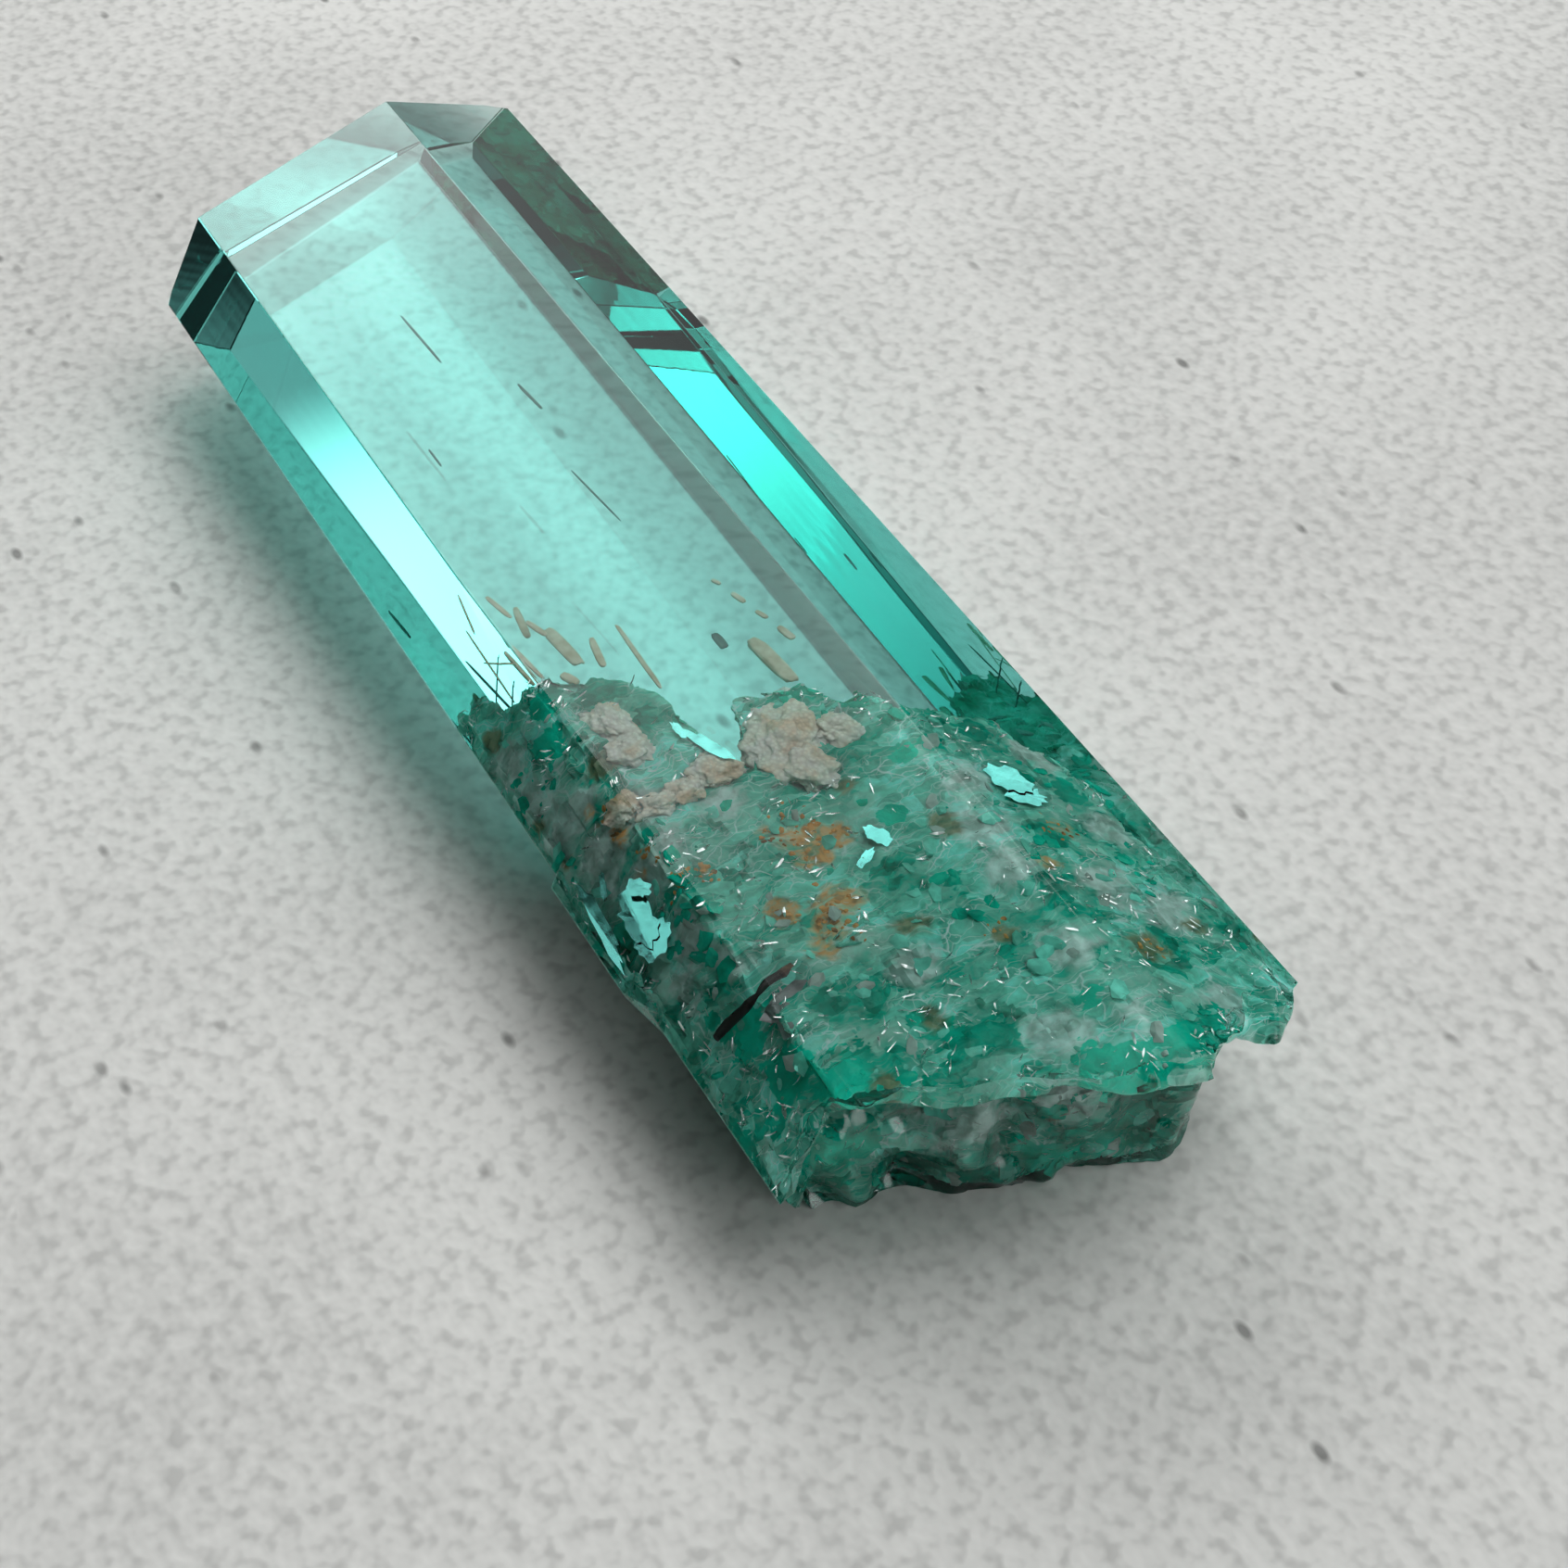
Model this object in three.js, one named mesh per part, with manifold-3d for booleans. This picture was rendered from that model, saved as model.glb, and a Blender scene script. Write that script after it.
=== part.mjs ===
// An emerald crystal: one long six-sided beryl prism lying on its flattest lower face. The far end is
// clear and closed by an oblique face; the near end is the root, where it was broken off its matrix.
//
// Millimetres. X runs along the crystal from the broken root (about 0) to the clear tip, Y points to
// the side that holds the narrow rib, and Z is up from the surface that the crystal rests on. The last
// step moves the finished solid so that the origin is under the middle of its bounding box.
import * as THREE from 'three';
import { mergeVertices, toCreasedNormals } from 'three/addons/utils/BufferGeometryUtils.js';
import loadManifold from 'manifold-3d';

// ---- driving dimensions -------------------------------------------------------------------------

// The six long edges of the prism, each at [across, up] in its cross-section.
const LONG_EDGES = {
  topLeft: [4.32, 5.4],
  topRight: [-2.79, 5.76],
  right: [-7.45, 3.3],
  footRight: [-3.78, 0],
  footLeft: [4.11, 0],
  left: [5.85, 3.24],
};

// The oblique end face stands upright on the line between these two ends of the top edges.
const TIP_AT_TOP_LEFT = 38.1;
const TIP_AT_TOP_RIGHT = 40.75;

// Facets that cut the corners of the tip: a point on each and the way it faces.
const TIP_FACETS = [
  { at: [41.75, -5.0, 4.75], facing: [0.8, -0.16, 0.58] },
  { at: [37.85, 5.32, 4.1], facing: [0.62, 0.76, 0.16] },
  { at: [38.7, 2.0, 0.55], facing: [0.72, 0.3, -0.62] },
];

// A sliver of a face along the top left edge. It starts at nothing and widens toward the root.
const SLIVER_START = 19.7;
const SLIVER_FACING_DEGREES = 48;
const SLIVER_WIDENING = 0.015;

// The low rib that stands proud of the left edge near the root.
const RIB_FROM = 4.6;
const RIB_TO = 11.4;
const RIB_SECTION = [[5.4, 3.75], [6.08, 3.05], [5.3, 2.45], [4.9, 3.1]];
const RIB_TAPER_AT_ROOT = 2.6;
const RIB_TAPER_AT_TIP = 0.4;

// The broken root: how far along the crystal the break lies, at [across, along], at the top and the foot.
const BREAK_AT_TOP = [[-7.5, -0.2], [-6.6, -0.9], [-4.9, -1.5], [-3.1, -2.3], [-1.6, -1.9], [0.5, -0.6],
  [2.9, 0.1], [4.2, 0.4], [5.9, 0.4]];
const BREAK_AT_FOOT = [[-7.5, -0.1], [-5.1, 0.1], [-4.4, -0.5], [-3.1, -0.4], [-0.6, 0.2], [1.7, 1],
  [2.8, 1.5], [4.1, 1.7], [5.9, 0.4]];
// The top overhangs the foot as a lip, which is this thick and then steps back over this height.
const LIP_THICKNESS = 0.5;
const LIP_STEP = 1.1;

// Scoops of the uneven fracture, with the depth they take off it on average, and the shallow pits
// where grains fell out of the faces near the root.
const SCOOP_ALLOWANCE = 0.5;
const SCOOP_COUNT = 210;
const SCOOP_RADIUS = [0.35, 1.5];
const SCOOP_DEPTH = [0.06, 0.36];
const FACE_PIT_COUNT = 18;
const FACE_PIT_RADIUS = [0.14, 0.34];
const FACE_PIT_DEPTH = [0.05, 0.12];
const FACE_PIT_STRETCH = [1.2, 3.2];
const PITTED_LENGTH = 12.5;

// The grid that carries the broken surface, and the reach of the cutting blocks.
const BREAK_CELL = 0.26;
const CUTTER_REACH = 60;

// Faces that meet at more than this angle keep a sharp edge between them.
const CREASE_DEGREES = 20;

const EMERALD_COLOUR = 0x46b79a;
const SEED = 297;

// ---- small helpers ------------------------------------------------------------------------------

const wasm = await loadManifold();
wasm.setup();

/** A repeatable source of numbers from 0 up to 1. */
function makeRandom(seed) {
  let state = seed >>> 0;
  return () => {
    state = (Math.imul(state, 1664525) + 1013904223) >>> 0;
    return state / 4294967296;
  };
}

const between = (random, [low, high]) => low + (high - low) * random();

/** Reads a height off a line of [position, value] points, which run from the lowest position up. */
function along(points, position) {
  const last = points.length - 1;
  if (position <= points[0][0]) return points[0][1];
  if (position >= points[last][0]) return points[last][1];
  const next = points.findIndex(([place]) => place > position);
  const [x0, y0] = points[next - 1];
  const [x1, y1] = points[next];
  return THREE.MathUtils.mapLinear(position, x0, x1, y0, y1);
}

function toSolid(geometry) {
  const bare = geometry.clone();
  for (const name of Object.keys(bare.attributes)) {
    if (name !== 'position') bare.deleteAttribute(name);
  }
  const welded = mergeVertices(bare, 1e-5);
  return new wasm.Manifold(new wasm.Mesh({
    numProp: 3,
    vertProperties: new Float32Array(welded.attributes.position.array),
    triVerts: new Uint32Array(welded.index.array),
  }));
}

function toGeometry(solid) {
  const mesh = solid.getMesh();
  const geometry = new THREE.BufferGeometry();
  geometry.setAttribute('position', new THREE.BufferAttribute(new Float32Array(mesh.vertProperties), 3));
  geometry.setIndex(new THREE.BufferAttribute(new Uint32Array(mesh.triVerts), 1));
  return geometry;
}

/** A bar with the given [across, up] outline, lying along X from one place to another. */
function bar(outline, from, to) {
  const shape = new THREE.Shape(outline.map(([across, up]) => new THREE.Vector2(across, up)));
  const geometry = new THREE.ExtrudeGeometry(shape, { depth: to - from, bevelEnabled: false });
  const lie = new THREE.Matrix4().makeBasis(
    new THREE.Vector3(0, 1, 0), new THREE.Vector3(0, 0, 1), new THREE.Vector3(1, 0, 0));
  geometry.applyMatrix4(lie);
  geometry.translate(from, 0, 0);
  return geometry;
}

/** A large block whose near side is the plane through a point, and which fills all that lies beyond. */
function blockBeyond(at, facing) {
  const normal = new THREE.Vector3(...facing).normalize();
  const turn = new THREE.Quaternion().setFromUnitVectors(new THREE.Vector3(0, 0, 1), normal);
  const geometry = new THREE.BoxGeometry(CUTTER_REACH, CUTTER_REACH, CUTTER_REACH);
  geometry.translate(0, 0, CUTTER_REACH / 2);
  geometry.applyQuaternion(turn);
  geometry.translate(...at);
  return geometry;
}

// ---- the parts of the form ----------------------------------------------------------------------

function tipFace() {
  const [leftAcross, leftUp] = LONG_EDGES.topLeft;
  const [rightAcross] = LONG_EDGES.topRight;
  const alongEdge = TIP_AT_TOP_RIGHT - TIP_AT_TOP_LEFT;
  const acrossEdge = rightAcross - leftAcross;
  return blockBeyond([TIP_AT_TOP_LEFT, leftAcross, leftUp], [-acrossEdge, alongEdge, 0]);
}

function sliverFace() {
  const lean = THREE.MathUtils.degToRad(SLIVER_FACING_DEGREES);
  const [across, up] = LONG_EDGES.topLeft;
  return blockBeyond([SLIVER_START, across, up], [-SLIVER_WIDENING, Math.sin(lean), Math.cos(lean)]);
}

function rib() {
  const geometry = bar(RIB_SECTION, RIB_FROM, RIB_TO);
  const position = geometry.attributes.position;
  const [outerAcross] = RIB_SECTION[1];
  for (let i = 0; i < position.count; i += 1) {
    const isOuter = position.getY(i) > outerAcross - 0.01;
    const inward = position.getX(i) > RIB_FROM + 1 ? -RIB_TAPER_AT_TIP : RIB_TAPER_AT_ROOT;
    if (isOuter) position.setX(i, position.getX(i) + inward);
  }
  return geometry;
}

/** Lists scoops: round hollows, each with a centre in two directions, a radius and a depth. */
function makeScoops(count, spanA, spanB, radius, depth, random) {
  return Array.from({ length: count }, () => ({
    a: between(random, spanA),
    b: between(random, spanB),
    radius: between(random, radius),
    depth: between(random, depth),
  }));
}

function breakPosition(across, up, scoops) {
  const { right, topRight, topLeft, left } = LONG_EDGES;
  const belowSurface = along([right, topRight, topLeft, left], across) - up;
  const step = THREE.MathUtils.smoothstep(belowSurface, LIP_THICKNESS, LIP_THICKNESS + LIP_STEP);
  let place = THREE.MathUtils.lerp(along(BREAK_AT_TOP, across), along(BREAK_AT_FOOT, across), step);
  place -= SCOOP_ALLOWANCE;
  for (const scoop of scoops) {
    const reach = Math.hypot(across - scoop.a, up - scoop.b) / scoop.radius;
    if (reach < 1) place += scoop.depth * (1 - reach * reach);
  }
  return place;
}

/** The block that breaks off the root: its inner side is the fracture surface. */
function brokenOff(random) {
  const low = -1;
  const high = LONG_EDGES.topRight[1] + 1;
  const left = LONG_EDGES.left[0] + 1;
  const right = LONG_EDGES.right[0] - 1;
  const thickness = 12;
  const acrossCells = Math.round((left - right) / BREAK_CELL);
  const upCells = Math.round((high - low) / BREAK_CELL);
  const geometry = new THREE.BoxGeometry(thickness, left - right, high - low, 1, acrossCells, upCells);
  geometry.translate(-thickness / 2, (left + right) / 2, (high + low) / 2);
  const scoops = makeScoops(SCOOP_COUNT, [right, left], [low, high], SCOOP_RADIUS, SCOOP_DEPTH, random);
  const position = geometry.attributes.position;
  for (let i = 0; i < position.count; i += 1) {
    const isInner = position.getX(i) > -thickness / 2;
    if (isInner) position.setX(i, breakPosition(position.getY(i), position.getZ(i), scoops));
  }
  return geometry;
}

/** Shallow lens-shaped pits in the two upper faces near the root, as flat-sided lumps to cut away. */
function facePits(random) {
  const faces = [
    [LONG_EDGES.topLeft, LONG_EDGES.topRight],
    [LONG_EDGES.topRight, LONG_EDGES.right],
    [LONG_EDGES.left, LONG_EDGES.topLeft],
  ];
  const pits = [];
  for (let i = 0; i < FACE_PIT_COUNT; i += 1) {
    const [from, to] = faces[i % faces.length];
    const share = between(random, [0.12, 0.88]);
    const across = THREE.MathUtils.lerp(from[0], to[0], share);
    const up = THREE.MathUtils.lerp(from[1], to[1], share);
    const outward = Math.atan2(to[1] - from[1], to[0] - from[0]);
    const radius = between(random, FACE_PIT_RADIUS);
    const depth = between(random, FACE_PIT_DEPTH);
    const pit = new THREE.IcosahedronGeometry(1, 0);
    pit.rotateX(between(random, [0, Math.PI]));
    pit.rotateZ(between(random, [0, Math.PI]));
    pit.scale(radius * between(random, FACE_PIT_STRETCH), radius, depth);
    pit.rotateX(outward);
    pit.translate(between(random, [0.8, PITTED_LENGTH]), across, up);
    pits.push(pit);
  }
  return pits;
}

function crystal() {
  const random = makeRandom(SEED);
  const outline = Object.values(LONG_EDGES);
  let solid = toSolid(bar(outline, -6, CUTTER_REACH - 5));
  solid = solid.add(toSolid(rib()));
  solid = solid.subtract(toSolid(tipFace()));
  for (const { at, facing } of TIP_FACETS) {
    solid = solid.subtract(toSolid(blockBeyond(at, facing)));
  }
  solid = solid.subtract(toSolid(sliverFace()));
  solid = solid.subtract(toSolid(brokenOff(random)));
  for (const pit of facePits(random)) {
    solid = solid.subtract(toSolid(pit));
  }
  const geometry = toGeometry(solid);
  geometry.computeBoundingBox();
  const { min, max } = geometry.boundingBox;
  geometry.translate(-(min.x + max.x) / 2, -(min.y + max.y) / 2, -min.z);
  return toCreasedNormals(geometry, THREE.MathUtils.degToRad(CREASE_DEGREES));
}

const emerald = new THREE.Mesh(crystal(), new THREE.MeshStandardMaterial({
  color: EMERALD_COLOUR,
  roughness: 0.06,
  metalness: 0,
}));
emerald.name = 'emerald_crystal';

const group = new THREE.Group();
group.add(emerald);

export default group;
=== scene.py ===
"""An emerald crystal on a pale stone surface.

The crystal is one long six-sided prism of clear emerald. Toward its broken root it holds a cloud of fine
fractures with chips of emerald, grains of feldspar, iron stains and a needle of tourmaline.
The layout is that of an add-on. Run as a script, it makes every piece by calling its own operators.
"""

import math
import random

import bmesh
import bpy
import numpy as np
from bpy.props import FloatProperty, FloatVectorProperty, IntProperty, PointerProperty
from mathutils import Matrix, Vector, noise
from mathutils.bvhtree import BVHTree


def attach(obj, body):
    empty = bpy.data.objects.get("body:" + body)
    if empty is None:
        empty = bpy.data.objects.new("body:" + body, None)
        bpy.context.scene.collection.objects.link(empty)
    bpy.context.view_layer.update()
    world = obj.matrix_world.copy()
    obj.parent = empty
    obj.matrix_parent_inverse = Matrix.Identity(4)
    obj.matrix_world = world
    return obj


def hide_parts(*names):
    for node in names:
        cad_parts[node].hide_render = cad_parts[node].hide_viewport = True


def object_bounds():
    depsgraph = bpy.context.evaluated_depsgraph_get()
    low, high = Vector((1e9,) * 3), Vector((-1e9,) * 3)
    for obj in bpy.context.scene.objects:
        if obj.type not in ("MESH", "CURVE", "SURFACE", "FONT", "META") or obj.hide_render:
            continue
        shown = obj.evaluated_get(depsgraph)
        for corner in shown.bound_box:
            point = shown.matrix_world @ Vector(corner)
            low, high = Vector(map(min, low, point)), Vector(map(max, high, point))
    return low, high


bl_info = {
    "name": "Emerald crystal",
    "version": (1, 0, 0),
    "blender": (4, 5, 0),
    "location": "3D View > Sidebar > Emerald",
    "description": "Makes an emerald crystal with the inclusions of its root",
    "category": "Add Mesh",
}

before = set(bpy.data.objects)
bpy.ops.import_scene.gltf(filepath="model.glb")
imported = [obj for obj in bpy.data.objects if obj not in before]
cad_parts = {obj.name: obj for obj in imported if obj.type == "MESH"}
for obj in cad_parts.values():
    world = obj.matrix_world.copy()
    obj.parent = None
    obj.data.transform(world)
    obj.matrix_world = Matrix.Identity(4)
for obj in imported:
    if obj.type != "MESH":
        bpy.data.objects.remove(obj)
CRYSTAL_NODE = "emerald_crystal"
FRAME_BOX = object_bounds()
MM = 0.001

# ---- the form, in millimetres --------------------------------------------------------------------
# Places are [along, across, up]. Along starts at the root, and up starts at the resting face.

LONG_EDGES = {
    "top_left": (4.32, 5.4),
    "top_right": (-2.79, 5.76),
    "right": (-7.45, 3.3),
    "foot_right": (-3.78, 0.0),
    "foot_left": (4.11, 0.0),
    "left": (5.85, 3.24),
}
UPPER_OUTLINE = [LONG_EDGES[name] for name in ("right", "top_right", "top_left", "left")]
# The tip: how far it reaches, where its end face meets the two top edges, and its small facets, each as
# a place on it and where it faces.
TIP_REACH = 42.434
TIP_AT_TOP_LEFT = 38.1
TIP_AT_TOP_RIGHT = 40.75
TIP_FACETS = [
    ((41.75, -5.0, 4.75), (0.8, -0.16, 0.58)),
    ((37.85, 5.32, 4.1), (0.62, 0.76, 0.16)),
    ((38.7, 2.0, 0.55), (0.72, 0.3, -0.62)),
]
# Where the crystal's own [0, 0, 0] lies in the shared frame.
OWN_ORIGIN = Vector((
    FRAME_BOX[1].x - TIP_REACH * MM, FRAME_BOX[0].y - LONG_EDGES["right"][0] * MM, FRAME_BOX[0].z))

# The thin face along the upper left edge. It starts at nothing and widens toward the root.
SLIVER_START = 19.7
SLIVER_LEAN = math.radians(48)
SLIVER_WIDENING = 0.015
# The low rib on the left edge, with how far its outer corner tapers at its root end and at its tip end.
RIB_FROM = 4.6
RIB_TO = 11.4
RIB_SECTION = [(5.4, 3.75), (6.08, 3.05), (5.3, 2.45), (4.9, 3.1)]
RIB_TAPERS = (2.6, 0.4)
RIB_WEAR = 0.06

# How far along the broken surface lies at each place across: on the overhanging lip, and at the foot.
BREAK_AT_TOP = [(-7.5, -0.2), (-6.6, -0.9), (-4.9, -1.5), (-3.1, -2.3), (-1.6, -1.9), (0.5, -0.6),
                (2.9, 0.1), (4.2, 0.4), (5.9, 0.4)]
BREAK_AT_FOOT = [(-7.5, -0.1), (-5.1, 0.1), (-4.4, -0.5), (-3.1, -0.4), (-0.6, 0.2), (1.7, 1.0),
                 (2.8, 1.5), (4.1, 1.7), (5.9, 0.4)]
# How far the breaking reaches across and up: a little past the crystal.
BREAK_SPANS = (
    (LONG_EDGES["right"][0] - 1, LONG_EDGES["left"][0] + 1), (-1.0, LONG_EDGES["top_right"][1] + 1))
BREAKER_BACK = -12.0
LIP_THICKNESS = 0.5
LIP_STEP = 1.1
# The hollows of the fracture: how many, their radius and their depth.
SCOOP_SEED = 297
SCOOP_COUNT = 210
SCOOP_RADIUS = (0.35, 1.5)
SCOOP_DEPTH = (0.06, 0.36)
SCOOP_ALLOWANCE = 0.5
# The broken surface lies within this far of the start, and inclusions end this far inside the surface.
ROOT_END = 3.0
SKIN = 0.03

# How far the plain prism runs before its ends are broken off and cut.
BEYOND_BOTH_ENDS = (-6.0, 55.0)

# The cloudy part: where its bar starts and ends, how far inside the broken surface it begins, its
# cross-section, and how far from the root it reaches at each place across.
CLOUD_ENDS = (-4.0, 22.0)
CLOUD_INSET = 0.2
CLOUD_SECTION = [(4.1, 5.08), (-2.78, 5.44), (-7.0, 3.25), (-3.7, 0.1), (4.0, 0.1), (5.55, 3.2)]
CLOUD_FRONT = [(-7.0, 2.6), (-6.5, 5.2), (-6.1, 8.2), (-5.2, 9.8), (-3.5, 10.1), (-2.9, 10.5),
               (-2.6, 11.2), (-1.8, 11.2), (-1.4, 11.9), (-0.5, 12.3), (0.4, 12.5), (0.9, 10.8),
               (1.3, 10.1), (1.5, 11.8), (1.7, 13.4), (2.0, 13.8), (2.8, 14.6), (3.5, 15.1),
               (4.3, 15.9), (5.4, 17.6)]

# What differs inside the cloudy part: spots of [along, across, up, how far it spreads].
CLOUD_ZONES = {
    "deep": [
        (14.7, 4.25, 4.9, 0.8), (14.0, 4.4, 4.4, 0.9), (12.5, 1.7, 5.1, 0.6), (10.4, 0.9, 5.2, 0.6),
        (9.2, 0.6, 5.0, 0.6), (10.9, -2.2, 5.4, 0.7), (8.7, -2.2, 5.2, 0.6), (8.7, -3.0, 5.4, 0.6),
        (9.2, -4.5, 4.5, 0.8), (7.2, -1.0, 5.2, 0.5), (4.7, -1.1, 5.0, 0.65), (6.7, -4.0, 4.7, 0.7),
        (6.9, -5.6, 3.7, 0.9), (3.7, 4.5, 4.1, 1.1), (2.3, 4.5, 4.5, 1.2), (4.6, 4.8, 4.1, 0.8),
        (6.3, 4.1, 1.5, 1.4), (3.0, 3.0, 5.1, 0.7), (1.7, 1.6, 4.9, 0.5), (0.7, 0.4, 5.1, 0.8),
        (-1.5, -1.9, 5.1, 0.9), (-1.6, -3.2, 5.0, 1.1), (0.1, -3.9, 2.4, 1.5), (0.2, -2.5, 1.1, 1.1),
        (1.7, 3.5, 2.2, 1.5), (1.9, 3.4, 3.9, 0.9), (0.3, 2.4, 5.1, 0.6), (1.0, 0.5, 0.4, 1.0),
        (1.4, 2.2, 0.5, 1.5), (0.5, -1.0, 0.5, 1.3), (0.2, -2.4, 0.6, 1.4), (0.0, -3.6, 1.2, 1.4),
        (-0.2, -5.2, 2.0, 1.5), (0.9, 1.0, 5.1, 0.8), (1.2, 3.6, 5.0, 1.2), (-0.9, -1.2, 5.1, 0.7),
        (0.4, -1.9, 5.2, 0.7), (-1.0, -4.4, 4.7, 1.1), (2.6, 2.2, 5.2, 0.5),
        (2.0, 4.8, 2.5, 1.6), (5.0, 4.6, 2.2, 1.6), (8.5, 4.9, 2.6, 1.4),
    ],
    # Painted light in part: the milky spots on the left flank, across about 4.6 to 5.3, are pale haze that
    # also lightens the flank where light through the crystal would brighten it.
    "milky": [
        (-0.1, -0.9, 5.3, 1.2), (-0.4, -2.7, 5.5, 1.1), (-0.5, -5.1, 4.0, 1.5), (10.6, 3.9, 5.0, 1.0),
        (9.3, 3.8, 5.1, 0.9), (14.5, 4.8, 3.3, 1.2), (1.4, 1.2, 2.4, 1.2), (0.7, 0.4, 2.2, 1.2),
        (0.8, -0.5, 3.9, 1.3), (0.2, -1.3, 2.8, 1.2), (3.4, -4.4, 4.3, 1.2), (1.8, -2.2, 5.3, 1.1),
        (5.8, -2.6, 5.4, 1.1), (3.0, 0.9, 5.2, 0.9), (9.6, 2.2, 5.1, 0.8), (11.9, 5.3, 3.7, 1.3),
        (10.4, 5.0, 4.0, 1.0), (13.3, 5.2, 3.8, 1.2), (9.4, 5.1, 3.2, 0.9), (6.6, 4.6, 4.5, 0.9),
        (5.4, 4.3, 4.9, 0.8), (4.4, -2.4, 5.3, 1.0), (7.4, -3.2, 5.1, 0.9), (2.6, -5.6, 4.0, 1.2),
        (5.6, -6.0, 3.8, 1.2), (8.5, -5.6, 3.9, 1.2), (8.7, 4.6, 4.7, 1.1), (10.3, 4.8, 4.5, 1.0),
        (11.9, 4.8, 4.6, 1.0), (7.2, 4.7, 4.6, 0.8), (13.2, 4.9, 4.5, 0.8), (0.8, 0.3, 3.3, 1.4),
        (0.7, -0.9, 3.0, 1.4), (1.0, 1.6, 3.2, 1.2), (6.0, 5.0, 4.0, 0.9), (9.6, 5.2, 3.9, 1.0),
    ],
    "moss": [
        (1.4, -4.0, 4.4, 0.8), (2.0, -6.0, 3.7, 0.6), (1.6, 1.2, 4.9, 0.5), (2.8, -1.3, 5.2, 0.5),
        (0.6, 3.0, 5.0, 0.7), (0.2, -1.1, 2.3, 0.5), (1.0, 2.4, 4.2, 0.8), (8.6, -0.5, 5.1, 0.5),
        (12.2, 3.9, 4.9, 0.6), (17.0, 4.9, 3.9, 0.5), (15.6, 5.2, 3.6, 0.5), (12.6, 5.4, 3.2, 0.4),
        (13.8, 5.0, 4.3, 0.5), (11.2, 5.3, 3.3, 0.4), (4.0, 0.4, 5.2, 0.6), (6.2, -1.8, 5.3, 0.6),
    ],
    "rust": [
        (7.9, 1.7, 4.9, 0.8), (7.6, 1.0, 5.0, 0.9), (6.9, 1.2, 5.0, 0.7), (7.3, 0.4, 5.2, 0.6),
        (9.2, 4.3, 4.3, 0.45), (8.1, 4.0, 5.0, 0.42), (7.9, 3.5, 4.9, 0.4), (5.9, 2.6, 5.0, 0.55),
        (5.0, 1.9, 5.1, 0.8), (5.5, 1.4, 5.0, 0.9), (4.5, 2.3, 5.2, 0.7), (5.3, -4.3, 4.2, 0.9),
        (4.3, -3.2, 5.1, 0.6), (11.4, 4.3, 4.2, 0.5), (10.3, 4.4, 4.6, 0.5),
    ],
}


class CrystalSizes(bpy.types.PropertyGroup):
    edge_wear: FloatProperty(
        name="Edge wear", description="Width of the worn strip along each long edge",
        default=0.00004, min=0, precision=5, unit="LENGTH")
    break_cell: FloatProperty(
        name="Break detail", description="Spacing of the points that carry the broken surface",
        default=0.00013, min=0.00005, precision=5, unit="LENGTH")
    cloud_cell: FloatProperty(
        name="Cloud detail", description="Spacing of the points that carry the cloudy part's surface",
        default=0.00013, min=0.00005, precision=5, unit="LENGTH")
    cloud_relief: FloatProperty(
        name="Cloud relief", description="Height of the lumps on the cloudy part",
        default=0.00022, min=0, precision=5, unit="LENGTH")
    chip_count: IntProperty(
        name="Chips", description="How many chips of emerald lie on the cloudy part", default=700, min=0)
    chip_size: FloatProperty(
        name="Chip size", description="Radius of a large chip",
        default=0.00042, min=0.00005, precision=5, unit="LENGTH")
    crack_count: IntProperty(
        name="Cracks", description="How many small bright cracks show in the root", default=1500, min=0)


class CrystalColours(bpy.types.PropertyGroup):
    clear: FloatVectorProperty(
        name="Clear emerald", description="What the clear crystal lets through",
        default=(0.0, 0.84, 0.78), size=3, min=0, max=1, subtype="COLOR")
    depth: FloatProperty(
        name="Depth of colour", description="Absorption per metre in the clear crystal",
        default=105.0, min=0)
    deep: FloatVectorProperty(
        name="Deep emerald", description="Dark clear chips in the root",
        default=(0.0, 0.36, 0.25), size=3, min=0, max=1, subtype="COLOR")
    sea: FloatVectorProperty(
        name="Sea green", description="The main colour of the cloudy part",
        default=(0.16, 0.66, 0.51), size=3, min=0, max=1, subtype="COLOR")
    milky: FloatVectorProperty(
        name="Milky green", description="Pale veils in the cloudy part",
        default=(0.68, 0.88, 0.8), size=3, min=0, max=1, subtype="COLOR")
    feldspar: FloatVectorProperty(
        name="Feldspar", description="The cream grains",
        default=(0.9, 0.72, 0.54), size=3, min=0, max=1, subtype="COLOR")
    iron: FloatVectorProperty(
        name="Iron stain", description="The orange stains",
        default=(0.82, 0.39, 0.11), size=3, min=0, max=1, subtype="COLOR")
    tourmaline: FloatVectorProperty(
        name="Tourmaline", description="The dark needle",
        default=(0.012, 0.008, 0.006), size=3, min=0, max=1, subtype="COLOR")
    stone: FloatVectorProperty(
        name="Stone", description="The surface that the crystal lies on",
        default=(0.88, 0.89, 0.86), size=3, min=0, max=1, subtype="COLOR")


# ---- shapes --------------------------------------------------------------------------------------

def along(points, position):
    """Reads a value off a line of (position, value) points, which run from the lowest position up."""
    places, values = zip(*points)
    return float(np.interp(position, places, values))


def in_frame(point):
    """A place in the crystal's own millimetres, as metres in the shared frame."""
    return Vector(point) * MM + OWN_ORIGIN


def own_place(point):
    """A place in the shared frame, or rows of places, as the crystal's own millimetres."""
    return (point - OWN_ORIGIN) / MM


def top_height(across):
    """The height of the crystal's upper faces."""
    return along(UPPER_OUTLINE, across)


def smoothstep(value, low, high):
    share = min(1.0, max(0.0, (value - low) / (high - low)))
    return share * share * (3 - 2 * share)


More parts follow.
